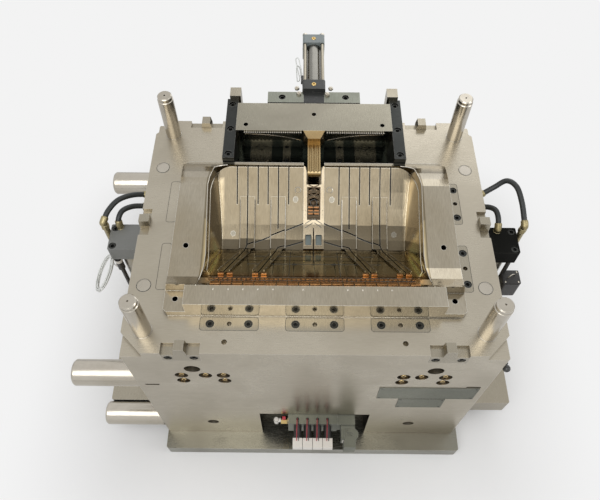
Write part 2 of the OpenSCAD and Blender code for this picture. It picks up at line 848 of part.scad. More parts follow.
// a wear strip let into the pocket's floor: centre across, width, and an oil groove or screw heads
module slide_strip(x, w, groove) {
    y0 = slide_strip_y;
    z0 = zp - slide_t - pad_t;
    difference() {
        translate([x - w / 2, y0, z0]) cube([w, back - y0 - fit_gap, pad_t]);
        if (groove) {
            for (s = [-1, 1]) for (y = [y0 + 66, y0 + 140]) translate([x, y, z0 + pad_t])
                rotate([0, 0, 90 + s * 45]) translate([0, -2, -2]) cube([w * 0.52, 4, 3]);
        }
        else {
            for (y = [y0 + 94, y0 + 160]) translate([x, y, z0 + 2]) cylinder(r = 9, h = pad_t);
        }
    }
}

// the steel block behind the plate that carries the slide when it is back, with the strips the slide runs on
module slide_base() {
    color(steel) {
        difference() {
            translate([-pocket_w / 2, back, base_z]) cube([pocket_w, base_l, base_t]);
            for (s = [-1, 1]) for (x = [90, 200])
                rod_y(s * x, back + 60, base_back + 1, base_z + base_t / 2, 14);
        }
        for (s = [-1, 1]) for (t = slide_strips) slide_strip(s * t[0], t[1], t[2]);
    }
}

module cylinder_beam() {
    color(steel) difference() {
        translate([-163, beam_y, zp - slide_t]) cube([326, beam_d, slide_t + 20]);
        translate([-mount_w / 2 - fit_gap, beam_y - 1, zp - slide_t + 30])
            cube([mount_w + 2 * fit_gap, beam_d + 2, 200]);
        for (s = [-1, 1]) translate([s * 112, beam_y + beam_d / 2, zp + 18]) screw_hole(60);
    }
}

module cylinder_mount() {
    color(dark) difference() {
        translate([-mount_w / 2, beam_y, zp - slide_t + 30]) cube([mount_w, beam_d, slide_t - 30 + 18]);
        rod_y(0, beam_y - 1, beam_y + beam_d + 1, cyl_z, cyl_rod_r + run_gap);
    }
}

module square_cap(y, l, bore) {
    difference() {
        translate([0, y, cyl_z]) rotate([-90, 0, 0]) rounded_plate(cyl_cap, cyl_cap, l, 8);
        if (bore > 0) rod_y(0, y - 1, y + l + 1, cyl_z, bore);
    }
}

module slide_cylinder_head() {
    color(dark) difference() {
        square_cap(cyl_y, cap_t, cyl_rod_r + run_gap);
        translate([0, cyl_y + cap_t / 2, cyl_z + cyl_cap / 2 - 14]) cylinder(r = 9, h = 20);
    }
}

module slide_cylinder_tube() {
    color(steel) difference() {
        rod_y(0, cyl_head_y, cyl_tail_y, cyl_z, cyl_tube_r);
        rod_y(0, cyl_head_y - 1, cyl_tail_y - 30, cyl_z, cyl_rod_r + run_gap);
    }
}

module slide_cylinder_cap() {
    color(dark) difference() {
        square_cap(cyl_tail_y, cap_t, 0);
        translate([0, cyl_tail_y + cap_t / 2, cyl_z + cyl_cap / 2 - 14]) cylinder(r = 9, h = 20);
    }
}

module slide_cylinder_ties() {
    color(steel) for (sx = [-1, 1]) for (sz = [-1, 1])
        rod_y(sx * (cyl_cap / 2 - 9), cyl_head_y, cyl_tail_y, cyl_z + sz * (cyl_cap / 2 - 9), 6);
}

// the slide: a T top, a scooped moulding face and a row of fine teeth under its front edge
module slide_body() {
    scoop_r = 150;
    tooth = 6;
    tooth_pitch = 13;
    color(steel) difference() {
        union() {
            translate([-slide_w / 2, slide_front, zp - 22]) cube([slide_w, slide_l, 22 + slide_rise]);
            translate([-slide_w / 2, slide_front + 16, zp - slide_t + run_gap])
                cube([slide_w, slide_l - 16, slide_t]);
            translate([-tongue_w / 2, slide_front + 0.5, zp - 60]) cube([tongue_w, 40, 80]);
        }
        difference() {
            rod_x(-slide_w / 2 + 14, slide_w / 2 - 14, slide_front - scoop_r + 56, zp - 74, scoop_r);
            translate([-tongue_w / 2, slide_front - 100, zp - 300]) cube([tongue_w, 300, 400]);
            translate([-slide_w, 0, zp - 22]) cube([2 * slide_w, plate_d, 200]);
        }
        for (s = [-1, 1]) for (i = [0:floor((slide_w / 2 - tongue_w / 2 - 29) / tooth_pitch)])
            translate([s * (tongue_w / 2 + 10 + i * tooth_pitch), slide_front - 1, zp - 23])
                cube([tooth, 9, tooth]);
        translate([0, slide_front + 75, zp + slide_rise - 25]) cylinder(r = 8, h = 30);
        for (s = [-1, 1]) translate([s * (slide_w / 2 - 33), slide_front + 26, zp + slide_rise - 25])
            cylinder(r = 8, h = 30);
        rod_y(0, slide_back - 40, slide_back + 1, cyl_z, cyl_rod_r + fit_gap);
    }
}

// the tongue: a tapering root and a fluted core pin with a round nose
module slide_tongue() {
    reach = slide_front - insert_back + 50;
    color(brass) difference() {
        union() {
            translate([0, 0, zp - 20]) linear_extrude(20 + slide_rise)
                polygon([[-tongue_w / 2, slide_front], [tongue_w / 2, slide_front],
                    [flute_w / 2, slide_front - 36], [-flute_w / 2, slide_front - 36]]);
            translate([-flute_w / 2, slide_front - reach + 12, zp - 22]) cube([flute_w, reach - 20, 30]);
            rod_x(-flute_w / 2, flute_w / 2, slide_front - reach + 15, zp - 7, 15);
        }
        for (x = [-12, 0, 12]) rod_y(x, slide_front - reach - 5, slide_front - 44, zp + 8, 4);
    }
}

module slide_rod() {
    color(steel) rod_y(0, slide_back - 40 + fit_gap, cyl_tail_y - 30 - 2, cyl_z, cyl_rod_r);
}

// Ejector cylinders on both sides

module ejector_cylinder(s) {
    translate([s * head_x, head_y, head_z]) difference() {
        rounded_plate(head_w, head_d, head_h, 5);
        for (sx = [-1, 1]) for (sy = [-1, 1])
            translate([sx * (head_w / 2 - 15), sy * (head_d / 2 - 15), head_h - 2]) screw_hole(20);
    }
}

module ejector_cylinder_left() {
    color(dark) ejector_cylinder(-1);
}

module ejector_cylinder_right() {
    color(dark) ejector_cylinder(1);
}

module ejector_tube(s) {
    color(steel) difference() {
        post(s * (head_x), head_y, head_z - cylinder_l, head_z, eject_tube_r);
        post(s * (head_x), head_y, head_z - cylinder_l - 1, head_z - 20, eject_rod_r + run_gap);
    }
}

module ejector_tube_left() {
    ejector_tube(-1);
}

module ejector_tube_right() {
    ejector_tube(1);
}

module ejector_foot(s) {
    color(dark) translate([s * head_x, head_y, head_z - cylinder_l - foot_t]) difference() {
        rounded_plate(head_w, head_d, foot_t, 5);
        translate([0, 0, -1]) cylinder(r = eject_rod_r + run_gap, h = foot_t + 2);
    }
}

module ejector_foot_left() {
    ejector_foot(-1);
}

module ejector_foot_right() {
    ejector_foot(1);
}

// a round tube swept along a list of points
function unit(v) = v / norm(v);
function along(p, i) = unit(p[min(i + 1, len(p) - 1)] - p[max(i - 1, 0)]);
function ring(p, i, r, n) =
    let (t = along(p, i), u = unit(cross(t, [0.5, -0.5, 0.7])), v = cross(t, u))
    [for (k = [0:n - 1]) p[i] + r * (cos(360 * k / n) * u + sin(360 * k / n) * v)];

module swept_tube(p, r, n) {
    m = len(p);
    pts = [for (i = [0:m - 1]) each ring(p, i, r, n)];
    sides = [for (i = [0:m - 2]) for (k = [0:n - 1]) let (a = i * n + k, b = i * n + (k + 1) % n)
        each [[a, a + n, b + n], [a, b + n, b]]];
    polyhedron(pts, concat([[for (k = [0:n - 1]) k]], sides, [[for (k = [n - 1:-1:0]) (m - 1) * n + k]]));
}

// a smooth curve through hand-placed points
function spline(p, n) = [for (i = [0:len(p) - 2]) for (k = [0:n - 1]) let (t = k / n, a = p[max(i - 1, 0)],
    b = p[i], c = p[i + 1], d = p[min(i + 2, len(p) - 1)])
    0.5 * (2 * b + (c - a) * t + (2 * a - 5 * b + 4 * c - d) * t * t + (3 * b - a - 3 * c + d) * t * t * t)];

// one hydraulic hose with its crimped collars: route, then the elbow at the cylinder head
module hose(s, route) {
    points = [for (p = route) [s * p[0], p[1], zp + p[2]]];
    swept_tube(concat(spline(points, 3), [points[len(points) - 1]]), hose_r, 10);
}

// a swivel elbow: out of the head's side, then up to the hose
module side_elbow(s) {
    x = right + head_w;
    z = head_z + head_h - 22;
    rod_x(s > 0 ? x + 0.2 : -x - 20, s > 0 ? x + 20 : -x - 0.2, hose_y, z, 11);
    post(s * (x + 13), hose_y, z, zp - 88, 10);
    post(s * (x + 13), hose_y, zp - 88.2, zp - 70, 12);
}

// where a hose starts at the plate and ends on the elbow or the head, so that both ends stand square
function hose_start(y, z) = [for (x = [fit_gap, 6, 12]) [right + x, y, z]];
function hose_end(x, y, z) = [for (h = [14, 7, fit_gap]) [x, y, z + h]];

module hoses_left() {
    ex = right + head_w + 13;
    color(dark) {
        hose(-1, concat(hose_start(170, -80),
            [[right + 60, 152, -60], [right + 98, 118, -42], [ex - 13, 76, -43]],
            hose_end(ex, hose_y, -70)));
        side_elbow(-1);
        hose(-1, concat(hose_start(130, -92),
            [[right + 56, 116, -74], [right + 84, 88, -60], [right + 94, 60, -66]],
            hose_end(right + 94, 50, -100)));
    }
}

module hoses_right() {
    ex = right + head_w + 13;
    color(dark) {
        hose(1, concat(hose_start(170, -72),
            [[right + 60, 188, -48], [right + 94, 192, -18], [right + 118, 160, -8], [ex - 7, 110, -22],
                [ex - 1, 60, -46]],
            hose_end(ex, hose_y, -70)));
        side_elbow(1);
        hose(1, concat(hose_start(130, -84),
            [[right + 38, 124, -72], [right + 56, 104, -62], [right + 61, 74, -66]],
            hose_end(right + 61, 48, -100)));
    }
}

// a pipe down the front of each ejector cylinder with its switch, and the reed switch of the slide cylinder
module limit_switches() {
    color(dark) {
        for (s = [-1, 1]) post(s * switch_x, switch_y, head_z - cylinder_l, head_z, switch_pipe_r);
        post(-switch_x, switch_y, zp - 233, zp - 175, switch_r);
        translate([switch_x + 24, switch_y - 20, zp - 322]) rounded_plate(62, 56, 78, 10);
        translate([reed_x - 4, cyl_head_y + fit_gap, cyl_z + 18]) cube([8, reed_l, 14]);
    }
}

// the white switch cable: a short tail, then a coil that hangs at the pipe
module sensor_cable() {
    color([0.93, 0.93, 0.9]) swept_tube([for (p = sensor_route) [p[0], p[1], zp + p[2]]], cable_r, 8);
}

module sensor_cable_coil() {
    color([0.93, 0.93, 0.9]) translate([coil_at[0], coil_at[1], zp + coil_at[2]])
        rotate([0, -coil_lean, 0]) rotate_extrude() translate([coil_r, 0]) circle(coil_bundle_r);
}

// the reed switch's white cable, looped twice beside the slide cylinder
module slide_cable() {
    color([0.93, 0.93, 0.9]) swept_tube([for (p = slide_route) [p[0], p[1], zp + p[2]]], cable_r, 8);
}

// Ejector box

module ejector_plate(z, t) {
    difference() {
        translate([0, 0, z]) rounded_plate(eject_w, eject_d, t, 8);
        for (p = supports) post(p[0], p[1], z - 1, z + t + 1, 32);
    }
}

module ejector_base_plate() {
    color(steel) difference() {
        ejector_plate(eject_z, eject_base_t);
        for (s = [-1, 1]) post(s * head_x, head_y, eject_z - 1, eject_z + 18, 20);
    }
}

module ejector_retainer_plate() {
    z = eject_z + eject_base_t;
    color(steel) difference() {
        ejector_plate(z, retain_t);
        for (p = pins) for (s = [-1, 1]) post(s * p[0], p[1], z - 1, z + retain_t + 1, pin_r + run_gap);
        for (sx = [-1, 1]) for (sy = [-1, 1])
            post(sx * return_x, sy * return_y, z - 1, z + retain_t + 1, return_r + run_gap);
        for (s = [-1, 1]) post(s * head_x, head_y, z - 1, z + retain_t + 1, eject_rod_r + fit_gap);
    }
}

module return_pins() {
    z = eject_z + eject_base_t;
    color(steel) for (sx = [-1, 1]) for (sy = [-1, 1]) post(sx * return_x, sy * return_y, z, zp, return_r);
}

// the pins end flush with the trough
module ejector_pins() {
    z = eject_z + eject_base_t;
    color(steel) difference() {
        for (p = pins) for (s = [-1, 1]) post(s * p[0], p[1], z, zp, pin_r);
        trough_profile();
    }
}

module ejector_rods() {
    z = eject_z + eject_base_t;
    color(steel) for (s = [-1, 1]) {
        post(s * head_x, head_y, z, head_z - cylinder_l + 40, eject_rod_r);
        translate([s * head_x, head_y, ear_top]) difference() {
            cylinder(r = 30, h = 26, $fn = 6);
            translate([0, 0, -1]) cylinder(r = eject_rod_r - 1, h = 30);
        }
    }
}

module stop_buttons() {
    color(steel) for (sx = [-1, 1]) for (sy = [-1, 1]) post(sx * 420, sy * 260, clamp_t, eject_z, 20);
}

module support_pillars() {
    color(steel) for (p = supports) post(p[0], p[1], clamp_t, z_backing, 30);
}

// Support legs on the left side, each with a stud in its plate
module support_leg(y, z) {
    color(steel) translate([left, y, z]) rotate([0, -90, 0]) rotate_extrude()
        polygon([[0, -28], [stud_r, -28], [stud_r, 0], [leg_r, 0], [leg_r, leg_l - 8],
            [leg_r - 4, leg_l - 2], [leg_r - 8, leg_l], [0, leg_l]]);
}

module support_legs() {
    for (s = [-1, 1]) {
        support_leg(s * leg_yu, leg_zu);
        support_leg(s * leg_yl, leg_zl);
    }
}

// Valve set in the front bay

module valve_manifold() {
    color([0.75, 0.76, 0.77]) difference() {
        union() {
            translate([-80, front - 34, valve_top - 88]) cube([172, bay_d + 34, 88]);
            rod_x(-106, -79, fitting_y, fitting_z, 13);
            rod_x(-122, -105, fitting_y, fitting_z, 7);
            post(-122, fitting_y, fitting_z - 22, fitting_z + 8, 9);
        }
        for (i = [0:3]) translate([valve_x + (i - 1.5) * valve_pitch, front - 16, valve_top - 12])
            cylinder(r = 5, h = 20);
        post(-122, fitting_y, fitting_z - 23, fitting_z - 6, 5);
    }
}

module valve_coils() {
    color(dark) for (i = [0:3]) translate([valve_x + (i - 1.5) * valve_pitch, front - 34, valve_top - 25]) {
        rotate([90, 0, 0]) cylinder(r = coil_w / 2, h = 44);
        translate([-coil_w / 2, -44, -17]) cube([coil_w, 44, 17]);
    }
}

module valve_plugs() {
    color([0.92, 0.92, 0.9]) for (i = [0:3])
        translate([valve_x + (i - 1.5) * valve_pitch - 16.5, front - 110, valve_top - 45]) cube([33, 32, 30]);
}

module connector_base() {
    color([0.72, 0.73, 0.74]) translate([92.3, front - 34, valve_top - 70]) cube([60, bay_d + 34, 66]);
}

module connector_hood() {
    color([0.75, 0.76, 0.76]) {
        translate([104, lever_y - 16, valve_top - 64]) cube([48, front - 34 - lever_y + 16, 54]);
        post(lever_x, lever_y, valve_top - 64 - lever_t - 0.6, valve_top - 10 + lever_t + 0.6, 5);
    }
}

// the locking lever: a hooked cheek over each face of the hood, joined by a grip in front
module connector_lever() {
    low = valve_top - 64 - fit_gap - lever_t;
    high = valve_top - 10 + fit_gap;
    color([0.8, 0.81, 0.78]) {
        for (z = [low, high]) translate([lever_x, lever_y, z]) linear_extrude(lever_t) difference() {
            union() {
                circle(lever_r);
                translate([-28, -20]) square([36, 12]);
            }
            translate([-30, -5.5]) square([30, 11]);
            circle(5.5);
        }
        translate([lever_x - 31, lever_y - 45, low]) cube([40, 26, high + lever_t - low]);
    }
}

module nameplates() {
    color([0.6, 0.61, 0.6]) {
        translate([207, front - 1.5, zp - 360]) cube([309, 1.5, 100]);
        translate([280, front - 1.5, zp - 450]) cube([150, 1.5, 84]);
    }
}

// an angled air nipple on the right side near the front
module ball_stud() {
    color(dark) {
        rod_x(right, right + 24, front + 42, zp - 105, 9);
        difference() {
            translate([right + 13, front + 42, zp - 105]) rotate([90, 0, 0]) rotate_extrude()
                polygon([[0, 0], [7, 0], [7, 22], [5, 24], [5, 26], [9, 29], [11, 34], [11, 38], [9, 43],
                    [6, 45], [0, 45]]);
            translate([right + 13, front + 5, zp - 105]) rotate([90, 0, 0]) cylinder(r = 3.5, h = 10);
        }
    }
}
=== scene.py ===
import json
import math

import bmesh
import bpy
from mathutils import Matrix, Vector


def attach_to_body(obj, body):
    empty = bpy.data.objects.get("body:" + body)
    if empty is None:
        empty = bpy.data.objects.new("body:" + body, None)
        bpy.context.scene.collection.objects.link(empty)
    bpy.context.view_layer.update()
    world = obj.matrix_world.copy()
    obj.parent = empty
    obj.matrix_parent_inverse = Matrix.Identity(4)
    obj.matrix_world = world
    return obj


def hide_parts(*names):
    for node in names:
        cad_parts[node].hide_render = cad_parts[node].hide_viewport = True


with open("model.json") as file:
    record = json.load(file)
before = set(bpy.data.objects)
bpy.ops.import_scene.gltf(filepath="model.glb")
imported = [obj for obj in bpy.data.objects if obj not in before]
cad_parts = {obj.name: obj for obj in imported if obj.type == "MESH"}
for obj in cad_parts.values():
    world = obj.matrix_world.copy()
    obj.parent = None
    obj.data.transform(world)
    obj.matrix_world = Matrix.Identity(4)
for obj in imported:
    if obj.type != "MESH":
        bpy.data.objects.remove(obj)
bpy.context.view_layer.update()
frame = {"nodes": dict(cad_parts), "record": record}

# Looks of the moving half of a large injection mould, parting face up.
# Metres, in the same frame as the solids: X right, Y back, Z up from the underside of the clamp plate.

partingZ = 0.835  # height of the parting face
plateRight = 0.540  # the plates' right side
collection = bpy.context.scene.collection

camera = {
    "place": (-0.040, -1.049, 2.370),
    "tilt": 31.875,  # degrees away from looking straight down
    "turn": 0.214,
    "roll": 0.333,
    "lens": 35.96,
}


def addCamera(settings):
    data = bpy.data.cameras.new("camera")
    data.sensor_width = 36
    data.lens = settings["lens"]
    data.clip_end = 50
    thing = bpy.data.objects.new("camera", data)
    turn = Matrix.Rotation(math.radians(settings["turn"]), 4, "Z")
    tilt = Matrix.Rotation(math.radians(settings["tilt"]), 4, "X")
    roll = Matrix.Rotation(math.radians(settings["roll"]), 4, "Z")
    thing.matrix_world = Matrix.Translation(settings["place"]) @ turn @ tilt @ roll
    collection.objects.link(thing)
    bpy.context.scene.camera = thing


addCamera(camera)
print("camera placed")


# Node helpers

def newMaterial(name):
    material = bpy.data.materials.new(name)
    material.use_nodes = True
    tree = material.node_tree
    tree.nodes.clear()
    output = tree.nodes.new("ShaderNodeOutputMaterial")
    shader = tree.nodes.new("ShaderNodeBsdfPrincipled")
    tree.links.new(shader.outputs["BSDF"], output.inputs["Surface"])
    return material, tree, shader


def addNode(tree, kind, inputs=None, **settings):
    node = tree.nodes.new(kind)
    for key, value in settings.items():
        setattr(node, key, value)
    for key, value in (inputs or {}).items():
        if isinstance(value, bpy.types.NodeSocket):
            tree.links.new(value, node.inputs[key])
        else:
            node.inputs[key].default_value = value
    return node


def mathNode(tree, operation, *values, **settings):
    node = addNode(tree, "ShaderNodeMath", dict(enumerate(values)), operation=operation, **settings)
    return node.outputs[0]


def vectorNode(tree, operation, *values):
    node = addNode(tree, "ShaderNodeVectorMath", dict(enumerate(values)), operation=operation)
    return node.outputs["Value" if operation in ("DOT_PRODUCT", "LENGTH") else "Vector"]


def addGroup(tree, group, inputs):
    node = addNode(tree, "ShaderNodeGroup", node_tree=group)
    for key, value in inputs.items():
        node.inputs[key].default_value = value
    return node.outputs


def startGroup(name, inputs, outputs):
    group = bpy.data.node_groups.new(name, "ShaderNodeTree")
    for label, kind in inputs:
        group.interface.new_socket(name=label, in_out="INPUT", socket_type=kind)
    for label in outputs:
        group.interface.new_socket(name=label, in_out="OUTPUT", socket_type="NodeSocketFloat")
    return group, group.nodes.new("NodeGroupInput"), group.nodes.new("NodeGroupOutput")


def spread(tree, value, low, high, toLow=0.0, toHigh=1.0):
    node = addNode(tree, "ShaderNodeMapRange", {"Value": value, "From Min": low, "From Max": high,
                                                "To Min": toLow, "To Max": toHigh})
    return node.outputs["Result"]


def mixColor(tree, factor, first, second, blend="MIX"):
    node = addNode(tree, "ShaderNodeMix", data_type="RGBA", blend_type=blend)
    for socket, value in ((node.inputs[0], factor), (node.inputs[6], first), (node.inputs[7], second)):
        if isinstance(value, bpy.types.NodeSocket):
            tree.links.new(value, socket)
        else:
            socket.default_value = value if isinstance(value, float) else (*value, 1.0)
    return node.outputs[2]


def makeGrindGroup():  # fine grinding lines and the soft stains of handling
    group, start, end = startGroup("grinding", [("Stretch", "NodeSocketVector"),
                                                ("Scale", "NodeSocketFloat")], ["Lines", "Stains", "Specks"])
    where = addNode(group, "ShaderNodeTexCoord").outputs["Object"]
    stretched = vectorNode(group, "MULTIPLY", where, start.outputs["Stretch"])
    lines = addNode(group, "ShaderNodeTexNoise",
                    {"Vector": stretched, "Scale": start.outputs["Scale"], "Detail": 3.0, "Roughness": 0.6})
    stains = addNode(group, "ShaderNodeTexNoise",
                     {"Vector": where, "Scale": 3.4, "Detail": 4.0, "Roughness": 0.55, "Distortion": 0.6})
    specks = addNode(group, "ShaderNodeTexNoise", {"Vector": where, "Scale": 95.0, "Detail": 2.0})
    group.links.new(spread(group, lines.outputs["Fac"], 0.3, 0.7), end.inputs["Lines"])
    group.links.new(spread(group, stains.outputs["Fac"], 0.36, 0.66), end.inputs["Stains"])
    group.links.new(spread(group, specks.outputs["Fac"], 0.62, 0.75), end.inputs["Specks"])
    return group


def makeEdgeGroup():  # bright edges: worn metal and a painted highlight on each rounded edge
    group, start, end = startGroup("edgeWearAndHighlight", [("Radius", "NodeSocketFloat")], ["Edge"])
    rounded = addNode(group, "ShaderNodeBevel", {"Radius": start.outputs["Radius"]}, samples=4)
    normal = addNode(group, "ShaderNodeNewGeometry").outputs["Normal"]
    facing = vectorNode(group, "DOT_PRODUCT", rounded.outputs["Normal"], normal)
    group.links.new(spread(group, facing, 0.98, 0.82), end.inputs["Edge"])
    return group


def makeGrimeGroup():  # painted shade: darkening in corners and grooves
    group, start, end = startGroup("cornerShade", [("Reach", "NodeSocketFloat")], ["Grime"])
    corners = addNode(group, "ShaderNodeAmbientOcclusion", {"Distance": start.outputs["Reach"]}, samples=6)
    group.links.new(spread(group, corners.outputs["AO"], 0.75, 0.3), end.inputs["Grime"])
    return group


def makeRegionGroup():  # a mask of one soft-edged box, such as the trough or the slide's pocket
    group, start, end = startGroup("region", [("Low", "NodeSocketVector"), ("High", "NodeSocketVector"),
                                              ("Soft", "NodeSocketFloat")], ["Inside"])
    where = addNode(group, "ShaderNodeTexCoord").outputs["Object"]
    over = vectorNode(group, "SUBTRACT", where, start.outputs["Low"])
    under = vectorNode(group, "SUBTRACT", start.outputs["High"], where)
    parts = addNode(group, "ShaderNodeSeparateXYZ", {0: vectorNode(group, "MINIMUM", over, under)}).outputs
    inside = mathNode(group, "MINIMUM", mathNode(group, "MINIMUM", parts[0], parts[1]), parts[2])
    share = mathNode(group, "DIVIDE", inside, start.outputs["Soft"], use_clamp=True)
    group.links.new(share, end.inputs["Inside"])
    return group


grinding = makeGrindGroup()
edgeWearAndHighlight = makeEdgeGroup()
cornerShade = makeGrimeGroup()
region = makeRegionGroup()


def shade(tree, mask, share, first, second):  # the second color over the first, up to a share
    return mixColor(tree, spread(tree, mask, 0, 1, 0, share), first, second)


def startFinish(name, look):  # the grain and the stains that every finish has
    material, tree, shader = newMaterial(name)
    grain = addGroup(tree, grinding, {"Stretch": look["stretch"], "Scale": look["scale"]})
    bump = addNode(tree, "ShaderNodeBump", {"Height": grain["Lines"], "Strength": look["bump"],
                                            "Distance": look["depth"]})
    tree.links.new(bump.outputs["Normal"], shader.inputs["Normal"])
    return material, tree, shader, grain, mixColor(tree, grain["Stains"], look["light"], look["stained"])


# worn edges and a painted highlight: every rounded edge lighter
def wearEdges(tree, look, color):
    edge = addGroup(tree, edgeWearAndHighlight, {"Radius": look["edge"]})
    return shade(tree, edge["Edge"], look["wear"], color, look["bright"])


def makeMetal(name, look):
    material, tree, shader, grain, body = startFinish(name, look)
    lined = shade(tree, grain["Lines"], look["lineShade"], body, look["dark"])
    # painted shade: corners and grooves darkened toward the dark colour
    cornerShadeMask = addGroup(tree, cornerShade, {"Reach": look["reach"]})
    color = wearEdges(tree, look, shade(tree, cornerShadeMask["Grime"], look["cornerShade"], lined, look["dark"]))
    for low, high, soft, tint in look.get("regions", ()):
        mask = addGroup(tree, region, {"Low": low, "High": high, "Soft": soft})
        color = mixColor(tree, mask["Inside"], color, mixColor(tree, 1.0, color, tint, "MULTIPLY"))
    tree.links.new(color, shader.inputs["Base Color"])
    rough = mathNode(tree, "ADD", spread(tree, grain["Stains"], 0, 1, *look["gloss"]),
                     spread(tree, grain["Lines"], 0, 1, -0.03, 0.05))
    tree.links.new(rough, shader.inputs["Roughness"])
    shader.inputs["Metallic"].default_value = look["metal"]
    return material


metalLook = dict(  # what most of the metals share
    scale=60.0, lineShade=0.2, cornerShade=0.5, wear=0.5, bump=0.1, depth=0.0004,
    edge=0.0008, reach=0.006, metal=1.0)
groundSteelLook = dict(
    metalLook, light=(0.50, 0.455, 0.37), stained=(0.42, 0.38, 0.305), dark=(0.18, 0.155, 0.115),
    bright=(0.74, 0.72, 0.66), stretch=(0.6, 9.0, 9.0), lineShade=0.16, cornerShade=0.55,
    wear=0.55, gloss=(0.24, 0.36), bump=0.12, edge=0.0016, reach=0.012,
    regions=[  # painted shade: the slide's pocket and the valve bay darkened
        ((-0.32, 0.246, 0.5), (0.32, 0.6, 0.833), 0.004, (0.125, 0.165, 0.18)),
        ((-0.19, -0.43, 0.05), (0.21, -0.34, 0.31), 0.004, (0.16, 0.16, 0.16))])
mouldedSteelLook = dict(
    metalLook, light=(0.46, 0.415, 0.33), stained=(0.37, 0.32, 0.235), dark=(0.045, 0.035, 0.022),
    bright=(0.95, 0.94, 0.9), stretch=(7.0, 0.8, 0.8), scale=55.0, cornerShade=0.85,
    wear=0.75, gloss=(0.10, 0.20), bump=0.08, edge=0.0024, reach=0.016,
    regions=[  # the trough darker; its front slope lighter, a painted reflection; the slope's lower band amber; the right and the left end wall lighter, a painted highlight, the right one more
        ((-0.336, -0.256, 0.6), (0.336, 0.2275, 0.95), 0.002, (0.37, 0.345, 0.30)),
        ((-0.336, -0.256, 0.6), (0.336, -0.012, 0.95), 0.03, (3.6, 3.6, 3.05)),
        ((-0.336, -0.256, 0.6), (0.336, -0.17, 0.95), 0.05, (0.85, 0.52, 0.34)),
        ((0.293, -0.2, 0.6), (0.336, 0.2, 0.95), 0.012, (2.9, 2.9, 2.85)),
        ((-0.336, -0.2, 0.6), (-0.293, 0.2, 0.95), 0.012, (2.6, 2.6, 2.55))])
blockSteelLook = dict(
    metalLook, light=(0.40, 0.365, 0.29), stained=(0.34, 0.305, 0.24), dark=(0.13, 0.11, 0.085),
    bright=(0.8, 0.78, 0.72), stretch=(9.0, 0.7, 9.0), cornerShade=0.6, wear=0.6,
    gloss=(0.22, 0.33), bump=0.14, edge=0.0014, reach=0.012)
pillarSteelLook = dict(
    metalLook, light=(0.55, 0.51, 0.44), stained=(0.46, 0.42, 0.35), dark=(0.2, 0.18, 0.15),
    bright=(0.85, 0.83, 0.78), stretch=(1.0, 1.0, 12.0), scale=40.0, lineShade=0.12,
    gloss=(0.16, 0.26), bump=0.08, edge=0.0016, reach=0.02)
darkSteelLook = dict(
    metalLook, light=(0.055, 0.058, 0.055), stained=(0.035, 0.036, 0.034), dark=(0.01, 0.01, 0.01),
    bright=(0.34, 0.33, 0.3), stretch=(1.0, 8.0, 8.0), scale=50.0, lineShade=0.3,
    wear=0.65, gloss=(0.3, 0.45), bump=0.15, edge=0.0016, reach=0.012, metal=0.9)
centreAlloyLook = dict(
    metalLook, light=(0.33, 0.28, 0.20), stained=(0.27, 0.215, 0.14), dark=(0.09, 0.055, 0.025),
    bright=(0.80, 0.75, 0.62), stretch=(8.0, 0.8, 0.8), lineShade=0.12, cornerShade=0.6,
    wear=0.35, gloss=(0.14, 0.24), bump=0.08, edge=0.0012, reach=0.01)
brassLook = dict(
    metalLook, light=(0.64, 0.47, 0.20), stained=(0.5, 0.34, 0.13), dark=(0.12, 0.07, 0.02),
    bright=(0.88, 0.74, 0.42), stretch=(1.0, 1.0, 9.0), scale=70.0, lineShade=0.15,
    wear=0.45, gloss=(0.2, 0.32))
alloyLook = dict(
    metalLook, light=(0.19, 0.195, 0.155), stained=(0.15, 0.155, 0.125), dark=(0.07, 0.068, 0.055),
    bright=(0.62, 0.61, 0.57), stretch=(4.0, 4.0, 4.0), wear=0.45, gloss=(0.42, 0.55),
    bump=0.12, edge=0.001, reach=0.008, metal=0.6)
zincLook = dict(
    metalLook, light=(0.42, 0.36, 0.20), stained=(0.34, 0.28, 0.15), dark=(0.1, 0.08, 0.04),
    bright=(0.6, 0.55, 0.4), stretch=(3.0, 3.0, 3.0), gloss=(0.3, 0.42), metal=0.9)
clampSteelLook = dict(
    groundSteelLook, light=(0.25, 0.245, 0.205), stained=(0.21, 0.20, 0.165), regions=[])
slideSteelLook = dict(
    blockSteelLook, light=(0.325, 0.305, 0.245), stained=(0.27, 0.25, 0.20),
    regions=[  # painted shade and painted reflection: the face under its top darkened
        ((-0.255, 0.35, 0.7), (0.255, 0.42, 0.8635), 0.003, (0.40, 0.44, 0.46))])
beamSteelLook = dict(blockSteelLook, light=(0.25, 0.26, 0.22), stained=(0.20, 0.21, 0.175))
tubeSteelLook = dict(blockSteelLook, light=(0.26, 0.254, 0.23), stained=(0.215, 0.21, 0.19))
pinSteelLook = dict(pillarSteelLook, light=(0.19, 0.175, 0.14), stained=(0.15, 0.135, 0.105))
tongueLook = dict(brassLook, light=(0.42, 0.33, 0.18), stained=(0.30, 0.20, 0.09))
louvreLook = dict(
    centreAlloyLook, light=(0.030, 0.023, 0.015), stained=(0.018, 0.014, 0.009),
    bright=(0.6, 0.48, 0.34), wear=0.25)
amberLook = dict(
    brassLook, light=(0.66, 0.34, 0.12), stained=(0.42, 0.18, 0.06), bright=(0.95, 0.7, 0.4))
bronzeSlatLook = dict(
    brassLook, light=(0.055, 0.040, 0.027), stained=(0.035, 0.025, 0.016), bright=(0.8, 0.68, 0.5),
    wear=0.3)
copperBarLook = dict(bronzeSlatLook, light=(0.20, 0.095, 0.04), stained=(0.13, 0.055, 0.022))
windowLook = dict(alloyLook, light=(0.15, 0.175, 0.17), stained=(0.11, 0.13, 0.125))


def makeSatin(name, look):  # paint, plastic and rubber
    material, tree, shader, grain, body = startFinish(name, look)
    dusty = shade(tree, grain["Specks"], look["dust"], body, look["bright"])
    tree.links.new(wearEdges(tree, look, dusty), shader.inputs["Base Color"])
    tree.links.new(spread(tree, grain["Stains"], 0, 1, *look["gloss"]), shader.inputs["Roughness"])
    shader.inputs["Specular IOR Level"].default_value = look.get("specular", 0.5)
    return material


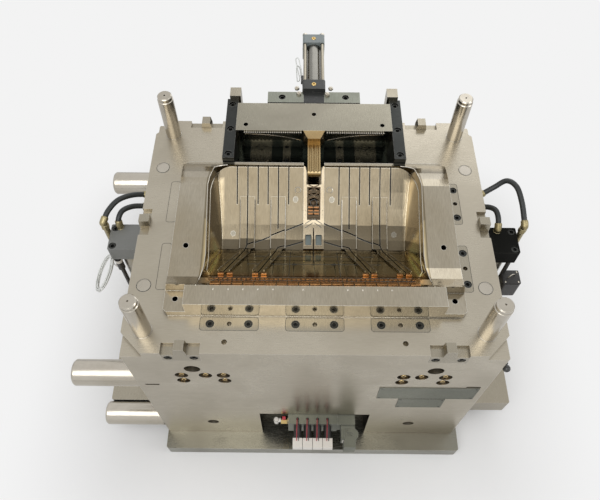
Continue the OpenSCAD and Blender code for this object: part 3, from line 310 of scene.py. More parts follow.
satinLook = dict(  # what most of them share
    stretch=(1.0, 1.0, 1.0), scale=150.0, dust=0.1, wear=0.0, bump=0.1, depth=0.0003,
    edge=0.0004)
blackPaintLook = dict(
    satinLook, light=(0.035, 0.036, 0.034), stained=(0.02, 0.021, 0.02), bright=(0.22, 0.21, 0.19),
    scale=90.0, dust=0.18, wear=0.5, gloss=(0.28, 0.42), bump=0.15, edge=0.0014)
rubberLook = dict(
    satinLook, light=(0.022, 0.025, 0.024), stained=(0.014, 0.016, 0.015), bright=(0.1, 0.1, 0.09),
    scale=120.0, dust=0.3, gloss=(0.35, 0.5), bump=0.3, edge=0.0005)
blackPlasticLook = dict(
    satinLook, light=(0.028, 0.026, 0.025), stained=(0.02, 0.019, 0.018), bright=(0.16, 0.15, 0.14),
    dust=0.2, wear=0.3, gloss=(0.35, 0.48), bump=0.2, edge=0.0008)
whitePlasticLook = dict(
    satinLook, light=(0.74, 0.71, 0.66), stained=(0.66, 0.62, 0.56), bright=(0.86, 0.85, 0.82),
    wear=0.3, gloss=(0.35, 0.45), edge=0.0008)
cableLook = dict(
    satinLook, light=(0.78, 0.79, 0.76), stained=(0.68, 0.69, 0.66), bright=(0.86, 0.86, 0.84),
    gloss=(0.25, 0.35))
redLeadLook = dict(
    satinLook, light=(0.42, 0.02, 0.04), stained=(0.34, 0.015, 0.03), bright=(0.7, 0.3, 0.32),
    gloss=(0.3, 0.4))
capPaintLook = dict(
    blackPaintLook, light=(0.19, 0.22, 0.22), stained=(0.15, 0.17, 0.17), bright=(0.4, 0.42, 0.41))
headPaintLook = dict(
    blackPaintLook, light=(0.205, 0.208, 0.198), stained=(0.165, 0.168, 0.158),
    bright=(0.34, 0.33, 0.31))
matBlackLook = dict(
    blackPaintLook, light=(0.010, 0.010, 0.009), stained=(0.007, 0.007, 0.006),
    bright=(0.12, 0.115, 0.1), gloss=(0.6, 0.7), dust=0.04, specular=0.05)

finishes = {
    "ground_steel": makeMetal("groundSteel", groundSteelLook),
    "centre_alloy": makeMetal("centreAlloy", centreAlloyLook),
    "dark_steel": makeMetal("darkSteel", darkSteelLook),
    "pillar_steel": makeMetal("pillarSteel", pillarSteelLook),
    "block_steel": makeMetal("blockSteel", blockSteelLook),
    "brass": makeMetal("brass", brassLook),
    "black_metal": makeSatin("blackPaint", blackPaintLook),
    "hose_rubber": makeSatin("hoseRubber", rubberLook),
    "black_plastic": makeSatin("blackPlastic", blackPlasticLook),
    "manifold_alloy": makeMetal("manifoldAlloy", alloyLook),
    "white_plastic": makeSatin("whitePlastic", whitePlasticLook),
    "cable_white": makeSatin("cableJacket", cableLook),
}
nodeFinishes = {
    "core_insert": makeMetal("mouldedSteel", mouldedSteelLook),
    "clamp_plate": makeMetal("clampSteel", clampSteelLook),
    "slide_body": makeMetal("slideSteel", slideSteelLook),
    "cylinder_beam": makeMetal("beamSteel", beamSteelLook),
    "slide_cylinder_tube": makeMetal("tubeSteel", tubeSteelLook),
    "slide_cylinder_cap": makeSatin("capPaint", capPaintLook),
    "ejector_cylinder_left": makeSatin("headPaint", headPaintLook),
    "ejector_cylinder_right": makeSatin("matBlack", matBlackLook),
    "louvre_insert": makeMetal("louvreBronze", louvreLook),
    "ejector_pins": makeMetal("pinSteel", pinSteelLook),
    "slide_tongue": makeMetal("tongueBronze", tongueLook),
}
amber = makeMetal("amber", amberLook)
bronzeSlat = makeMetal("bronzeSlat", bronzeSlatLook)
copperBar = makeMetal("copperBar", copperBarLook)
windowAlloy = makeMetal("windowAlloy", windowLook)
zincSteel = makeMetal("zincSteel", zincLook)
redLead = makeSatin("redLead", redLeadLook)


def dressNodes():
    for entry in frame["record"]["subparts"]:
        thing = frame["nodes"][entry["node"]]
        finish = nodeFinishes.get(entry["node"], finishes[entry["material_slot"]])
        thing.data.materials.clear()
        thing.data.materials.append(finish)


dressNodes()
print("finishes made")


# Mesh helpers

def smoothPath(points, steps):  # a smooth curve through given points
    points = [Vector(p) for p in points]
    path = []
    for i in range(len(points) - 1):
        a, b, c, d = points[max(i - 1, 0)], points[i], points[i + 1], points[min(i + 2, len(points) - 1)]
        for k in range(steps):
            t = k / steps
            path.append(0.5 * (2 * b + (c - a) * t + (2 * a - 5 * b + 4 * c - d) * t * t
                               + (3 * b - a - 3 * c + d) * t * t * t))
    return path + [points[-1]]


def pathLength(path):
    return sum((b - a).length for a, b in zip(path, path[1:]))


def addCurve(name, path, radius, finish):
    data = bpy.data.curves.new(name, "CURVE")
    data.dimensions = "3D"
    data.bevel_depth = radius
    data.bevel_resolution = 4
    data.use_fill_caps = True
    spline = data.splines.new("POLY")
    spline.points.add(len(path) - 1)
    for point, spot in zip(spline.points, path):
        point.co = (*spot, 1)
    thing = bpy.data.objects.new(name, data)
    data.materials.append(finish)
    collection.objects.link(thing)
    return thing


def finishMesh(name, shape, finish, smooth=40):
    data = bpy.data.meshes.new(name)
    bmesh.ops.remove_doubles(shape, verts=shape.verts, dist=0.000002)
    bmesh.ops.recalc_face_normals(shape, faces=shape.faces)
    for face in shape.faces:
        face.smooth = True
    for edge in shape.edges:
        edge.smooth = len(edge.link_faces) == 2 and edge.calc_face_angle(0) < math.radians(smooth)
    shape.to_mesh(data)
    shape.free()
    data.materials.append(finish)
    thing = bpy.data.objects.new(name, data)
    collection.objects.link(thing)
    return thing


def place(thing, body, slot, *replaced):
    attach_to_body(thing, body)
    if replaced:
        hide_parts(*replaced)


def attach(name, shape, slot, finish=None, body="base"):  # a finished mesh, on its body
    place(finishMesh(name, shape, finish or finishes[slot]), body, slot)


def sweep(shape, path, radii, sides):  # a closed tube along a path, with a radius at each point
    rings = []
    up = Vector((0, 0, 1)) if abs((path[1] - path[0]).normalized().z) < 0.9 else Vector((1, 0, 0))
    for i, here in enumerate(path):
        along = (path[min(i + 1, len(path) - 1)] - path[max(i - 1, 0)]).normalized()
        side = along.cross(up).normalized()
        up = side.cross(along).normalized()
        rings.append([shape.verts.new(here + radii[i] * (math.cos(a) * side + math.sin(a) * up))
                      for a in (2 * math.pi * k / sides for k in range(sides))])
    for lower, upper in zip(rings, rings[1:]):
        for k in range(sides):
            shape.faces.new((lower[k], lower[(k + 1) % sides], upper[(k + 1) % sides], upper[k]))
    shape.faces.new(rings[0][::-1])
    shape.faces.new(rings[-1])


def line(shape, path, radius, sides=8):  # a sweep with one radius
    sweep(shape, path, [radius] * len(path), sides)


def turn(shape, origin, axis, outline, sides=32):  # a solid of revolution from (height, radius) pairs
    axis = Vector(axis).normalized()
    across = axis.orthogonal().normalized()
    other = axis.cross(across)
    rings = [[shape.verts.new(Vector(origin) + axis * h + r * (math.cos(a) * across + math.sin(a) * other))
              for a in (2 * math.pi * k / sides for k in range(sides))] for h, r in outline]
    for lower, upper in zip(rings, rings[1:]):
        for k in range(sides):
            shape.faces.new((lower[k], lower[(k + 1) % sides], upper[(k + 1) % sides], upper[k]))
    shape.faces.new(rings[0][::-1])
    shape.faces.new(rings[-1])


def block(shape, low, high, bevel=0.0006):  # a box with broken edges
    made = bmesh.ops.create_cube(shape, size=1)["verts"]
    low, high = Vector(low), Vector(high)
    for vert in made:
        vert.co = Vector([(low[i] + high[i]) / 2 + vert.co[i] * (high[i] - low[i]) for i in range(3)])
    edges = {edge for vert in made for edge in vert.link_edges}
    bmesh.ops.bevel(shape, geom=list(edges), offset=bevel, segments=2, profile=0.7, affect="EDGES")


def hexNut(shape, origin, axis, width, height, hole):  # chamfered hexagon with a stud in the middle
    turn(shape, origin, axis, [(0, width * 0.56), (height * 0.85, width * 0.56), (height, width * 0.5)], 6)
    turn(shape, Vector(origin) + Vector(axis) * height * 0.98, axis,
         [(0, hole), (height * 0.3, hole), (height * 0.4, hole * 0.8)], 20)


def ring(frameAt, radius, rise, count):  # a closed circle of points in a frame
    return [frameAt @ Vector((radius * math.cos(a), radius * math.sin(a), rise))
            for a in (2 * math.pi * k / count for k in range(count + 1))]


# Free cables: the same routes as the solids

sensorCable = {
    "radius": 0.002,
    "tail": [(-0.6623, -0.025, 0.613), (-0.668, -0.024, 0.613), (-0.6735, -0.0205, 0.6135),
             (-0.6785, -0.014, 0.6155), (-0.682, -0.007, 0.6185), (-0.684, 0.0, 0.6214)],
    "centre": (-0.705, -0.048, 0.603),
    "lean": 54.0,
    "coilRadius": 0.062,
    "bundleRadius": 0.0047,
    "turns": 5,
    "firstAngle": 74.0,
    "firstPlace": -138.0,  # where in the bundle the coil starts
    "lastTurn": 0.97,
    "step": 15,  # degrees between points
}


def coilPoints(s):
    lean = math.radians(s["lean"])
    across = Vector((math.cos(lean), 0, math.sin(lean)))
    back = Vector((0, 1, 0))
    axis = Vector((-math.sin(lean), 0, math.cos(lean)))
    centre = Vector(s["centre"])
    count = round(360 / s["step"] * s["turns"] * s["lastTurn"])
    points = []
    for i in range(count):
        around = math.radians(s["firstAngle"] + s["step"] * i)
        within = math.radians(s["firstPlace"] + s["step"] * i / s["turns"])
        outward = math.cos(around) * across + math.sin(around) * back
        points.append(centre + (s["coilRadius"] + s["bundleRadius"] * math.cos(within)) * outward
                      + s["bundleRadius"] * math.sin(within) * axis)
    return points


sensorPath = smoothPath(sensorCable["tail"] + coilPoints(sensorCable), 4)
sensorCord = addCurve("sensorCable", sensorPath, sensorCable["radius"], finishes["cable_white"])
place(sensorCord, "base", "cable_white", "sensor_cable", "sensor_cable_coil")

slideCable = {
    "radius": 0.002,
    "route": [(-0.0423, 0.6326, 0.855), (-0.0425, 0.640, 0.8555), (-0.044, 0.652, 0.857),
              (-0.046, 0.668, 0.859), (-0.049, 0.684, 0.861), (-0.052, 0.700, 0.862),
              (-0.054, 0.714, 0.862), (-0.057, 0.724, 0.861), (-0.061, 0.729, 0.859),
              (-0.065, 0.728, 0.857), (-0.066, 0.720, 0.855), (-0.064, 0.706, 0.853),
              (-0.061, 0.690, 0.851), (-0.058, 0.672, 0.849), (-0.055, 0.656, 0.847),
              (-0.052, 0.644, 0.845), (-0.051, 0.636, 0.842), (-0.053, 0.630, 0.839),
              (-0.057, 0.629, 0.837), (-0.060, 0.634, 0.835), (-0.061, 0.646, 0.834),
              (-0.062, 0.664, 0.834), (-0.063, 0.684, 0.835), (-0.063, 0.700, 0.836),
              (-0.061, 0.710, 0.835), (-0.057, 0.714, 0.833), (-0.053, 0.711, 0.831),
              (-0.050, 0.700, 0.830), (-0.048, 0.684, 0.830), (-0.046, 0.664, 0.830),
              (-0.0435, 0.644, 0.830), (-0.041, 0.626, 0.830), (-0.0395, 0.614, 0.830),
              (-0.0385, 0.606, 0.830), (-0.0383, 0.6024, 0.830)],
}
slidePath = smoothPath(slideCable["route"], 4)
slideCord = addCurve("slideCable", slidePath, slideCable["radius"], finishes["cable_white"])
place(slideCord, "base", "cable_white", "slide_cable")
print("cables", round(pathLength(sensorPath), 3), round(pathLength(slidePath), 3))


# Hydraulic hoses with crimped collars, and the elbow at each cylinder head

hose = {
    "radius": 0.0087,
    "collar": 0.0118,
    "collarLength": 0.030,
    "crimps": (2, 5),  # rings of the collar that are pressed in
    "crimp": 0.93,
    "ridge": 0.00025,  # print of the cloth wrap in the rubber
    "sides": 20,
    "leaves": (540.3, 546, 552),  # millimetres, straight out of the plates
    "enters": (0, 7, 13.7),  # millimetres, straight down into the fitting
    "nut": (0.024, 0.017, 0.009),  # width, height and the stud's radius
    "sideNut": (0.024, 0.012, 0.009),
    "elbowLow": -0.182,  # under the parting face
    "elbow": [(0, 0.007), (0.002, 0.010), (0.09, 0.010), (0.094, 0.0115)],
    "sideNutOut": 0.1242,  # from the plates' side
}
hoseRoutes = {  # millimetres: out from the middle, back, over the parting face
    (1, "upper"): ((170, -72), [(600, 188, -48), (634, 192, -18), (658, 160, -8), (670, 110, -22),
                                (676, 60, -46)], (677, 40, -56)),
    (1, "lower"): ((130, -84), [(578, 124, -72), (596, 104, -62), (601, 74, -66)], (601, 48, -86)),
    (-1, "upper"): ((170, -80), [(600, 152, -60), (638, 118, -42), (664, 76, -43)], (677, 40, -56)),
    (-1, "lower"): ((130, -92), [(596, 116, -74), (624, 88, -60), (634, 60, -66)], (634, 50, -86)),
}


def hosePath(side, start, between, end):
    route = [(x, *start) for x in hose["leaves"]] + between
    route += [(end[0], end[1], end[2] - drop) for drop in hose["enters"]]
    return smoothPath([(side * x / 1000, y / 1000, partingZ + z / 1000) for x, y, z in route], 12)


def addHoses(side, s):
    rubber, metal = bmesh.new(), bmesh.new()
    for key, route in hoseRoutes.items():
        if key[0] != side:
            continue
        path = hosePath(side, *route)
        radii = [s["radius"] + s["ridge"] * (i % 2) for i in range(len(path))]
        sweep(rubber, path, radii, s["sides"])
        for ordered in (path, path[::-1]):
            part = [ordered[0]]
            while pathLength(part) < s["collarLength"]:
                part.append(ordered[len(part)])
            waist = [s["collar"] * (s["crimp"] if i in s["crimps"] else 1.0) for i in range(len(part))]
            waist[0] = waist[-1] = s["collar"] * 0.9
            sweep(metal, part, waist, 24)
        end = path[-1]
        if key[1] == "upper":
            low = partingZ + s["elbowLow"]
            hexNut(metal, (end.x, end.y, end.z - 0.018), (0, 0, 1), *s["nut"])
            turn(metal, (end.x, end.y, low), (0, 0, 1), s["elbow"], 28)
            hexNut(metal, (side * (plateRight + s["sideNutOut"]), end.y, low), (side, 0, 0), *s["sideNut"])
    name = "Right" if side > 0 else "Left"
    place(finishMesh("hoseRubber" + name, rubber, finishes["hose_rubber"]), "base", "hose_rubber",
          "hoses_right" if side > 0 else "hoses_left")
    attach("hoseCollars" + name, metal, "brass", zincSteel)


for side in (-1, 1):
    addHoses(side, hose)
print("hoses made")


# Small fittings: screws, nuts and studs

def socketHead(shape, origin, axis, radius, height):  # a cap screw's head with its hexagon socket
    turn(shape, origin, axis, [(0, radius), (height * 0.9, radius), (height, radius * 0.92),
                               (height, radius * 0.56), (height * 0.45, radius * 0.54)], 24)


capScrews = {
    "gib": [(x, y, 0.852) for x in (-0.2843, 0.2843) for y in (0.267, 0.377, 0.492)],
    "beam": [(-0.112, 0.530, 0.852), (0.112, 0.530, 0.852)],
    "radius": 0.0118,
    "height": 0.013,
    "head": (0.602, 0.012, 0.7182),  # the right ejector cylinder's head
    "headCorners": (0.047, 0.034),
    "headRadius": 0.0116,
    "headHeight": 0.0145,
    "pads": [(0.095, 0.350, 0.7192), (0.095, 0.416, 0.7192)],
    "padRadius": 0.0085,
    "padHeight": 0.0045,
}


def addCapScrews(s):
    shape = bmesh.new()
    for x, y, top in s["gib"] + s["beam"]:
        socketHead(shape, (x, y, top - s["height"] - 0.001), (0, 0, 1), s["radius"], s["height"])
    headX, headY, headZ = s["head"]
    for side in (-1, 1):
        for x in (-1, 1):
            for y in (-1, 1):
                corner = (side * headX + x * s["headCorners"][0], headY + y * s["headCorners"][1], headZ)
                socketHead(shape, corner, (0, 0, 1), s["headRadius"], s["headHeight"])
        for x, y, top in s["pads"]:
            socketHead(shape, (side * x, y, top), (0, 0, 1), s["padRadius"], s["padHeight"])
    attach("capScrews", shape, "dark_steel")


addCapScrews(capScrews)

tieRods = {
    "across": 0.032,
    "middle": 0.830,
    "capBack": 0.847,
    "nut": (0.018, 0.010, 0.005),
    "feet": [(-0.053, 0.545, 0.855), (0.047, 0.541, 0.855), (-0.060, 0.570, 0.855), (0.060, 0.570, 0.855)],
    "footNut": (0.016, 0.007, 0.0055),
    "ports": [(0, 0.579, 0.868), (0, 0.824, 0.868)],
    "port": [(0, 0.0082), (0.0035, 0.0082), (0.0045, 0.007), (0.0045, 0.004), (0.001, 0.004)],
    "gland": (0, 0.4985, 0.830),
}


def addTieRodNuts(s):
    shape, brass = bmesh.new(), bmesh.new()
    for x in (-1, 1):
        for z in (-1, 1):
            corner = (x * s["across"], s["capBack"], s["middle"] + z * s["across"])
            hexNut(shape, corner, (0, 1, 0), *s["nut"])
    for foot in s["feet"]:
        hexNut(shape, foot, (0, 0, 1), *s["footNut"])
    attach("tieRodNuts", shape, "pillar_steel")
    for port in s["ports"]:
        turn(brass, port, (0, 0, 1), s["port"], 24)
    turn(brass, s["gland"], (0, 1, 0), [(0, 0.017), (0.001, 0.019), (0.005, 0.019)], 32)
    attach("portPlugs", brass, "brass")


addTieRodNuts(tieRods)
print("screws and nuts made")


# The trough's small moulding details

troughWall = [  # (y, height over the parting face), from the back edge down and up the front slope
    (0.2270, 0.0), (0.1990, -0.0195), (0.1610, -0.0468), (0.1149, -0.0767), (0.0671, -0.1040),
    (0.0219, -0.1235), (-0.0005, -0.1300), (-0.0120, -0.1300), (-0.0280, -0.1209), (-0.2560, 0.0710)]


def troughHeight(y):
    for (y0, z0), (y1, z1) in zip(troughWall, troughWall[1:]):
        if y1 <= y <= y0:
            return partingZ + z0 + (z1 - z0) * (y - y0) / (y1 - y0)
    return partingZ + troughWall[-1][1]


def troughFrame(x, y, rise=0.0):  # a frame on the trough's surface: X right, Y up its line, Z out of it
    slope = (troughHeight(y + 0.001) - troughHeight(y - 0.001)) / 0.002
    along = Vector((0, 1, slope)).normalized()
    out = Vector((1, 0, 0)).cross(along)
    return Matrix.Translation(Vector((x, y, troughHeight(y))) + rise * out) @ Matrix(
        ((1, along.x, out.x, 0), (0, along.y, out.y, 0), (0, along.z, out.z, 0), (0, 0, 0, 1)))


def plaque(shape, frameAt, size, angle=0.0, bevel=0.0004):  # a thin block lying on the surface
    before = set(shape.verts)
    block(shape, (-size[0] / 2, -size[1] / 2, -size[2] / 2), (size[0] / 2, size[1] / 2, size[2] / 2), bevel)
    turned = frameAt @ Matrix.Rotation(math.radians(angle), 4, "Z")
    for vert in set(shape.verts) - before:
        vert.co = turned @ vert.co


frontRow = {
    "half": 0.288,
    "squareY": -0.2165,
    "squarePitch": 0.0131,
    "square": (0.0088, 0.0105, 0.0024),
    "squareRise": 0.0008,
    "panelY": -0.2415,
    "panelPitch": 0.0312,
    "panel": (0.0282, 0.019, 0.0016),
    "panelRise": 0.0004,
    "padY": -0.190,
    "pads": (-0.273, -0.247, -0.173, -0.148, 0.148, 0.173, 0.247, 0.273),
    "pad": (0.017, 0.013, 0.006),
    "padRise": 0.003,
    "gapY": (-0.2073, -0.2260),
    "gap": (0.0166, 0.0028, 0.0012),
}


def addFrontRow(s):
    squares, dark = bmesh.new(), bmesh.new()
    count = int(2 * s["half"] / s["squarePitch"])
    for i in range(count + 1):
        x = (i - count / 2) * s["squarePitch"]
        plaque(squares, troughFrame(x, s["squareY"], s["squareRise"]), s["square"])
    count = int(2 * s["half"] / s["panelPitch"])
    for i in range(count + 1):
        x = (i - count / 2) * s["panelPitch"]
        plaque(squares, troughFrame(x, s["panelY"], s["panelRise"]), s["panel"])
    for x in s["pads"]:
        plaque(squares, troughFrame(x, s["padY"], s["padRise"]), s["pad"], bevel=0.001)
    attach("amberRow", squares, "centre_alloy", amber)
    length = s["gap"][0]
    for i in range(int(2 * s["half"] / length) + 1):
        for y in s["gapY"]:
            plaque(dark, troughFrame(-s["half"] + i * length, y, s["panelRise"]), s["gap"])
    attach("amberRowGaps", dark, "dark_steel")


addFrontRow(frontRow)

glintMarks = {
    "ledge": (-0.283, -0.241, -0.200, -0.159, -0.117, -0.034, 0.090, 0.131, 0.172, 0.212),
    "ledgeAt": (-0.268, 0.0705),
    "ledgeDot": [(0, 0.0024), (0.0014, 0.0024), (0.002, 0.0016)],
    "rims": (-0.0525, 0.0525),
    "rimY": 0.166,
    "rimRadius": 0.0095,
    "glintStrips": [(0.218, 0.268), (0.117, 0.166)],  # each strip's middle on the wall and at the slope's end
    "glintHalf": (0.0240, 0.0170),
    "glintY": (0.138, 0.1, 0.06, 0.02, 0.0, -0.012),
    "slopeY": (-0.030, -0.172),
    "slopeShares": (0.08, 0.3, 0.55, 0.8, 1.0),
    "glintRise": 0.0055,
    "glintRadius": 0.00132,
}


# painted highlights: bright steel dots on the ledge, rings on two pin bosses and lines along the strips'
# edges
def addGlintMarks(s):
    shape = bmesh.new()
    for x in s["ledge"]:
        turn(shape, (x, s["ledgeAt"][0], partingZ + s["ledgeAt"][1]), (0, 0, 1), s["ledgeDot"], 12)
    for x in s["rims"]:
        path = ring(troughFrame(x, s["rimY"]), s["rimRadius"], 0.0006, 32)
        line(shape, path, 0.0013)
    wide, narrow = s["glintHalf"]
    foldY, endY = s["slopeY"]
    for side in (-1, 1):
        for top, low in s["glintStrips"]:
            for edge in (-1, 1):
                upper = [(side * top + wide * edge, y) for y in s["glintY"]]
                lower = [(side * (top + (low - top) * t) + narrow * edge, foldY + (endY - foldY) * t)
                         for t in s["slopeShares"]]
                for run in (upper, lower):
                    path = [troughFrame(x, y, s["glintRise"]).translation for x, y in run]
                    line(shape, path, s["glintRadius"])
    attach("glintMarks", shape, "pillar_steel")


addGlintMarks(glintMarks)

rimHighlightBeads = {  # millimetres
    "rim": [(332, -256, 71), (332, -238, 51), (330.5, -206, 30), (324.6, -166, 21.3), (322.8, -126, 24.1),
            (330, 98, 71), (328.7, 132, 62.5), (325.8, 170, 44), (323.8, 200, 27.4), (317.8, 208, 22.7),
            (302, 220, 13.9), (284, 226, 9.5)],
    "radius": 0.0016,
    "inner": 7,  # how many of the points the second line down the wall follows
    "drop": 30.0,
    "lean": 0.154,  # the end walls lean outward by this share of their height
}


def addRimHighlights(s):  # bright beads that paint the highlight along the polished edge of each end wall, and along the line of its blend
    shape = bmesh.new()
    for side in (-1, 1):
        inner = [(x - s["drop"] * s["lean"], y, z - s["drop"]) for x, y, z in s["rim"][3:3 + s["inner"]]]
        for run in (s["rim"], inner):
            path = [Vector((side * x / 1000, y / 1000, partingZ + z / 1000)) for x, y, z in run]
            line(shape, path, s["radius"])
    attach("rimHighlightBeads", shape, "pillar_steel")


addRimHighlights(rimHighlightBeads)

slideTrim = {
    "face": 0.362,
    "edge": 0.0260,  # height of the teeth over the parting face
    "from": 0.045,
    "count": 27,
    "pitch": 0.0073,
    "tooth": (0.0042, 0.0080, 0.0070),
    "lip": [(0.046, -0.018), (0.075, -0.009), (0.110, 0.0), (0.160, 0.008), (0.236, 0.013)],
    "lipRadius": 0.0014,
}


def addSlideTrim(s):  # the fine teeth on the slide's front face, in bright steel that paints their highlights, and a bright bead that paints the highlight along the lip
    shape = bmesh.new()
    wide, deep, high = s["tooth"]
    near, far, top = s["face"] - deep, s["face"] + 0.001, partingZ + s["edge"]
    for side in (-1, 1):
        for i in range(s["count"]):
            x = side * (s["from"] + i * s["pitch"])
            block(shape, (x - wide / 2, near, top - high), (x + wide / 2, far, top), 0.0005)
        path = smoothPath([(side * x, s["face"], partingZ + z) for x, z in s["lip"]], 6)
        line(shape, path, s["lipRadius"])
    attach("slideTeethAndLipHighlight", shape, "pillar_steel", body="rear_slide")


addSlideTrim(slideTrim)

grooves = {
    "straight": [(x, 0.2255, 0.127) for x in (0.253, 0.184, 0.151, 0.083)]
                + [(0.218, 0.2255, 0.004), (0.117, 0.2255, 0.052)],
    "slanted": [((0.036, 0.071), (0.216, 0.003)), ((0.036, 0.0155), (0.115, -0.0075)),
                ((0.218, -0.002), (0.268, -0.188)), ((0.117, -0.010), (0.166, -0.188))],
    "radius": 0.0019,
    "depth": -0.0048,
    "seams": [((-0.190, -0.062), (0.190, -0.062)), ((0.0, -0.018), (0.0, -0.100)),
              ((-0.205, -0.118), (0.205, -0.118)), ((-0.075, -0.030), (-0.075, -0.200)),
              ((0.075, -0.030), (0.075, -0.200))],
    "seamRadius": 0.0009,
}


def addGrooveShade(s):  # painted shade: dark lines at the bottom of the grooves; and the dark seams of the slope's inserts
    shape = bmesh.new()
    for side in (-1, 1):
        runs = [[(x, y0 + (y1 - y0) * k / 12) for k in range(13)] for x, y0, y1 in s["straight"]]
        runs += [[(a[0] + (b[0] - a[0]) * k / 16, a[1] + (b[1] - a[1]) * k / 16) for k in range(17)]
                 for a, b in s["slanted"]]
        for run in runs:
            path = [troughFrame(side * x, y, s["depth"]).translation for x, y in run]
            line(shape, path, s["radius"])
    for (x0, y0), (x1, y1) in s["seams"]:
        path = [troughFrame(x0 + (x1 - x0) * k / 8, y0 + (y1 - y0) * k / 8).translation for k in range(9)]
        line(shape, path, s["seamRadius"], 6)
    attach("grooveShadeAndSeams", shape, "dark_steel", finishes["hose_rubber"])


addGrooveShade(grooves)

joints = {
    "boxes": [(x, -0.340, 0.0823, 0.0203) for x in (0.0, -0.240, 0.240)]
             + [(x, y, 0.0148, 0.0793) for x in (0.4466, -0.4466) for y in (0.083, -0.154)],
    "corner": 0.008,
    "rims": [(x, y, 0.0203) for x in (-0.497, 0.497) for y in (-0.220, 0.220)],
    "radius": 0.0007,
}


def addJointShadeLines(s):  # the dark line round each let-in block, its joint with painted shade in the gap; round each return pin a dark line of the same kind and a bright ring, a painted highlight on its rim
    dark, bright = bmesh.new(), bmesh.new()
    for x, y, wide, deep in s["boxes"]:
        path = []
        for quarter, (cx, cy) in enumerate(((1, 1), (-1, 1), (-1, -1), (1, -1))):
            for k in range(5):
                a = math.pi / 2 * (quarter + k / 4)
                path.append(Vector((x + cx * (wide - s["corner"]) + s["corner"] * math.cos(a),
                                    y + cy * (deep - s["corner"]) + s["corner"] * math.sin(a), partingZ)))
        path.append(path[0])
        line(dark, path, s["radius"], 6)
    for x, y, radius in s["rims"]:
        for shape, grow, rise in ((dark, 0.0008, 0.0), (bright, -0.0008, 0.0002)):
            path = ring(Matrix.Translation((x, y, partingZ)), radius + grow, rise, 40)
            line(shape, path, s["radius"], 6)
    attach("jointShadeLines", dark, "dark_steel")
    attach("pinRimHighlights", bright, "pillar_steel")


addJointShadeLines(joints)

centreBlock = {
    "frameX": 0.0282,
    "frame": (0.0058, 0.0136, 0.0022),
    "frameRise": 0.0056,
    "frameFrom": 0.187,
    "frameTo": 0.088,
    "frameSteps": 9,
    "slats": [(0.177, 24), (0.166, -24), (0.155, 24), (0.144, -24)],
    "slatX": 0.009,
    "slat": (0.019, 0.0034, 0.003),
    "slatRise": 0.0058,
    "bossY": 0.1305,
    "bossRise": 0.0052,
    "bossRadius": 0.0085,
    "bossRing": 0.0108,
    "bars": (0.118, 0.109, 0.100),
    "barX": 0.010,
    "bar": (0.016, 0.0052, 0.0016),
    "barRise": 0.0054,
    "chevrons": (0.078, 0.066),
    "chevronX": 0.015,
    "chevron": (0.031, 0.0022, 0.0012),
    "chevronRise": 0.0051,
    "chevronAngle": -34,
    "windowX": 0.017,
    "windowY": 0.020,
    "window": (0.0186, 0.035, 0.0016),
    "windowRise": 0.0025,
    "sash": (0.0024, 0.038, 0.0016),
    "sill": (0.0238, 0.0024, 0.0016),
    "sashOut": 0.0108,
    "sillOut": 0.0185,
    "sashRise": 0.0054,
}


def addCentreBlock(s):
    white, dark, bronze, warm, panes = (bmesh.new() for _ in range(5))
    for i in range(s["frameSteps"]):
        y = s["frameFrom"] + (s["frameTo"] - s["frameFrom"]) * (i + 0.5) / s["frameSteps"]
        for side in (-1, 1):
            plaque(white, troughFrame(side * s["frameX"], y, s["frameRise"]), s["frame"])
    for y, angle in s["slats"]:
        for side in (-1, 1):
            plaque(bronze, troughFrame(side * s["slatX"], y, s["slatRise"]), s["slat"], side * angle)
    boss = troughFrame(0, s["bossY"], s["bossRise"])
    out = boss.to_3x3() @ Vector((0, 0, 1))
    radius = s["bossRadius"]
    turn(bronze, boss.translation, out, [(0, radius), (0.002, radius), (0.003, radius * 0.8)], 28)
    path = ring(boss, s["bossRing"], 0.001, 28)
    line(dark, path, 0.0016)
    for y in s["bars"]:
        for side in (-1, 1):
            plaque(warm, troughFrame(side * s["barX"], y, s["barRise"]), s["bar"])
    for y in s["chevrons"]:
        for side in (-1, 1):
            at = troughFrame(side * s["chevronX"], y, s["chevronRise"])
            plaque(dark, at, s["chevron"], side * s["chevronAngle"])
    for side in (-1, 1):
        x, y = side * s["windowX"], s["windowY"]
        plaque(panes, troughFrame(x, y, s["windowRise"]), s["window"])
        for edge in (-1, 1):
            plaque(white, troughFrame(x + edge * s["sashOut"], y, s["sashRise"]), s["sash"])
            plaque(white, troughFrame(x, y + edge * s["sillOut"], s["sashRise"]), s["sill"])
    attach("centreFrame", white, "centre_alloy")
    attach("centreAmber", warm, "centre_alloy", copperBar)
    attach("centreGrooves", dark, "dark_steel")
    attach("centreSlats", bronze, "centre_alloy", bronzeSlat)
    attach("centrePanes", panes, "manifold_alloy", windowAlloy)


addCentreBlock(centreBlock)
print("trough details made")


# Nameplate rims and screws, left bare

nameplates = {
    "plates": [((0.207, 0.475), (0.516, 0.575)), ((0.280, 0.385), (0.430, 0.469))],
    "face": -0.4315,
    "rim": 0.003,
    "inset": 0.008,
    "screw": 0.0032,
}


def addNameplateRims(s):
    rims, screws = bmesh.new(), bmesh.new()
    for (x0, z0), (x1, z1) in s["plates"]:
        near, deep = s["face"] - 0.0006, s["face"] + 0.0004
        for low, high in (((x0, z0), (x1, z0 + s["rim"])), ((x0, z1 - s["rim"]), (x1, z1)),
                          ((x0, z0), (x0 + s["rim"], z1)), ((x1 - s["rim"], z0), (x1, z1))):
            block(rims, (low[0], near, low[1]), (high[0], deep, high[1]), 0.0002)
        for x in (x0 + s["inset"], x1 - s["inset"]):
            for z in (z0 + s["inset"], z1 - s["inset"]):
                turn(screws, (x, s["face"] + 0.0002, z), (0, -1, 0),
                     [(0, s["screw"]), (0.001, s["screw"] * 0.9), (0.0016, s["screw"] * 0.5)], 16)
    attach("nameplateRims", rims, "manifold_alloy")
    attach("nameplateScrews", screws, "dark_steel")


addNameplateRims(nameplates)


# Valve set: leads, grommets and fitting sleeves

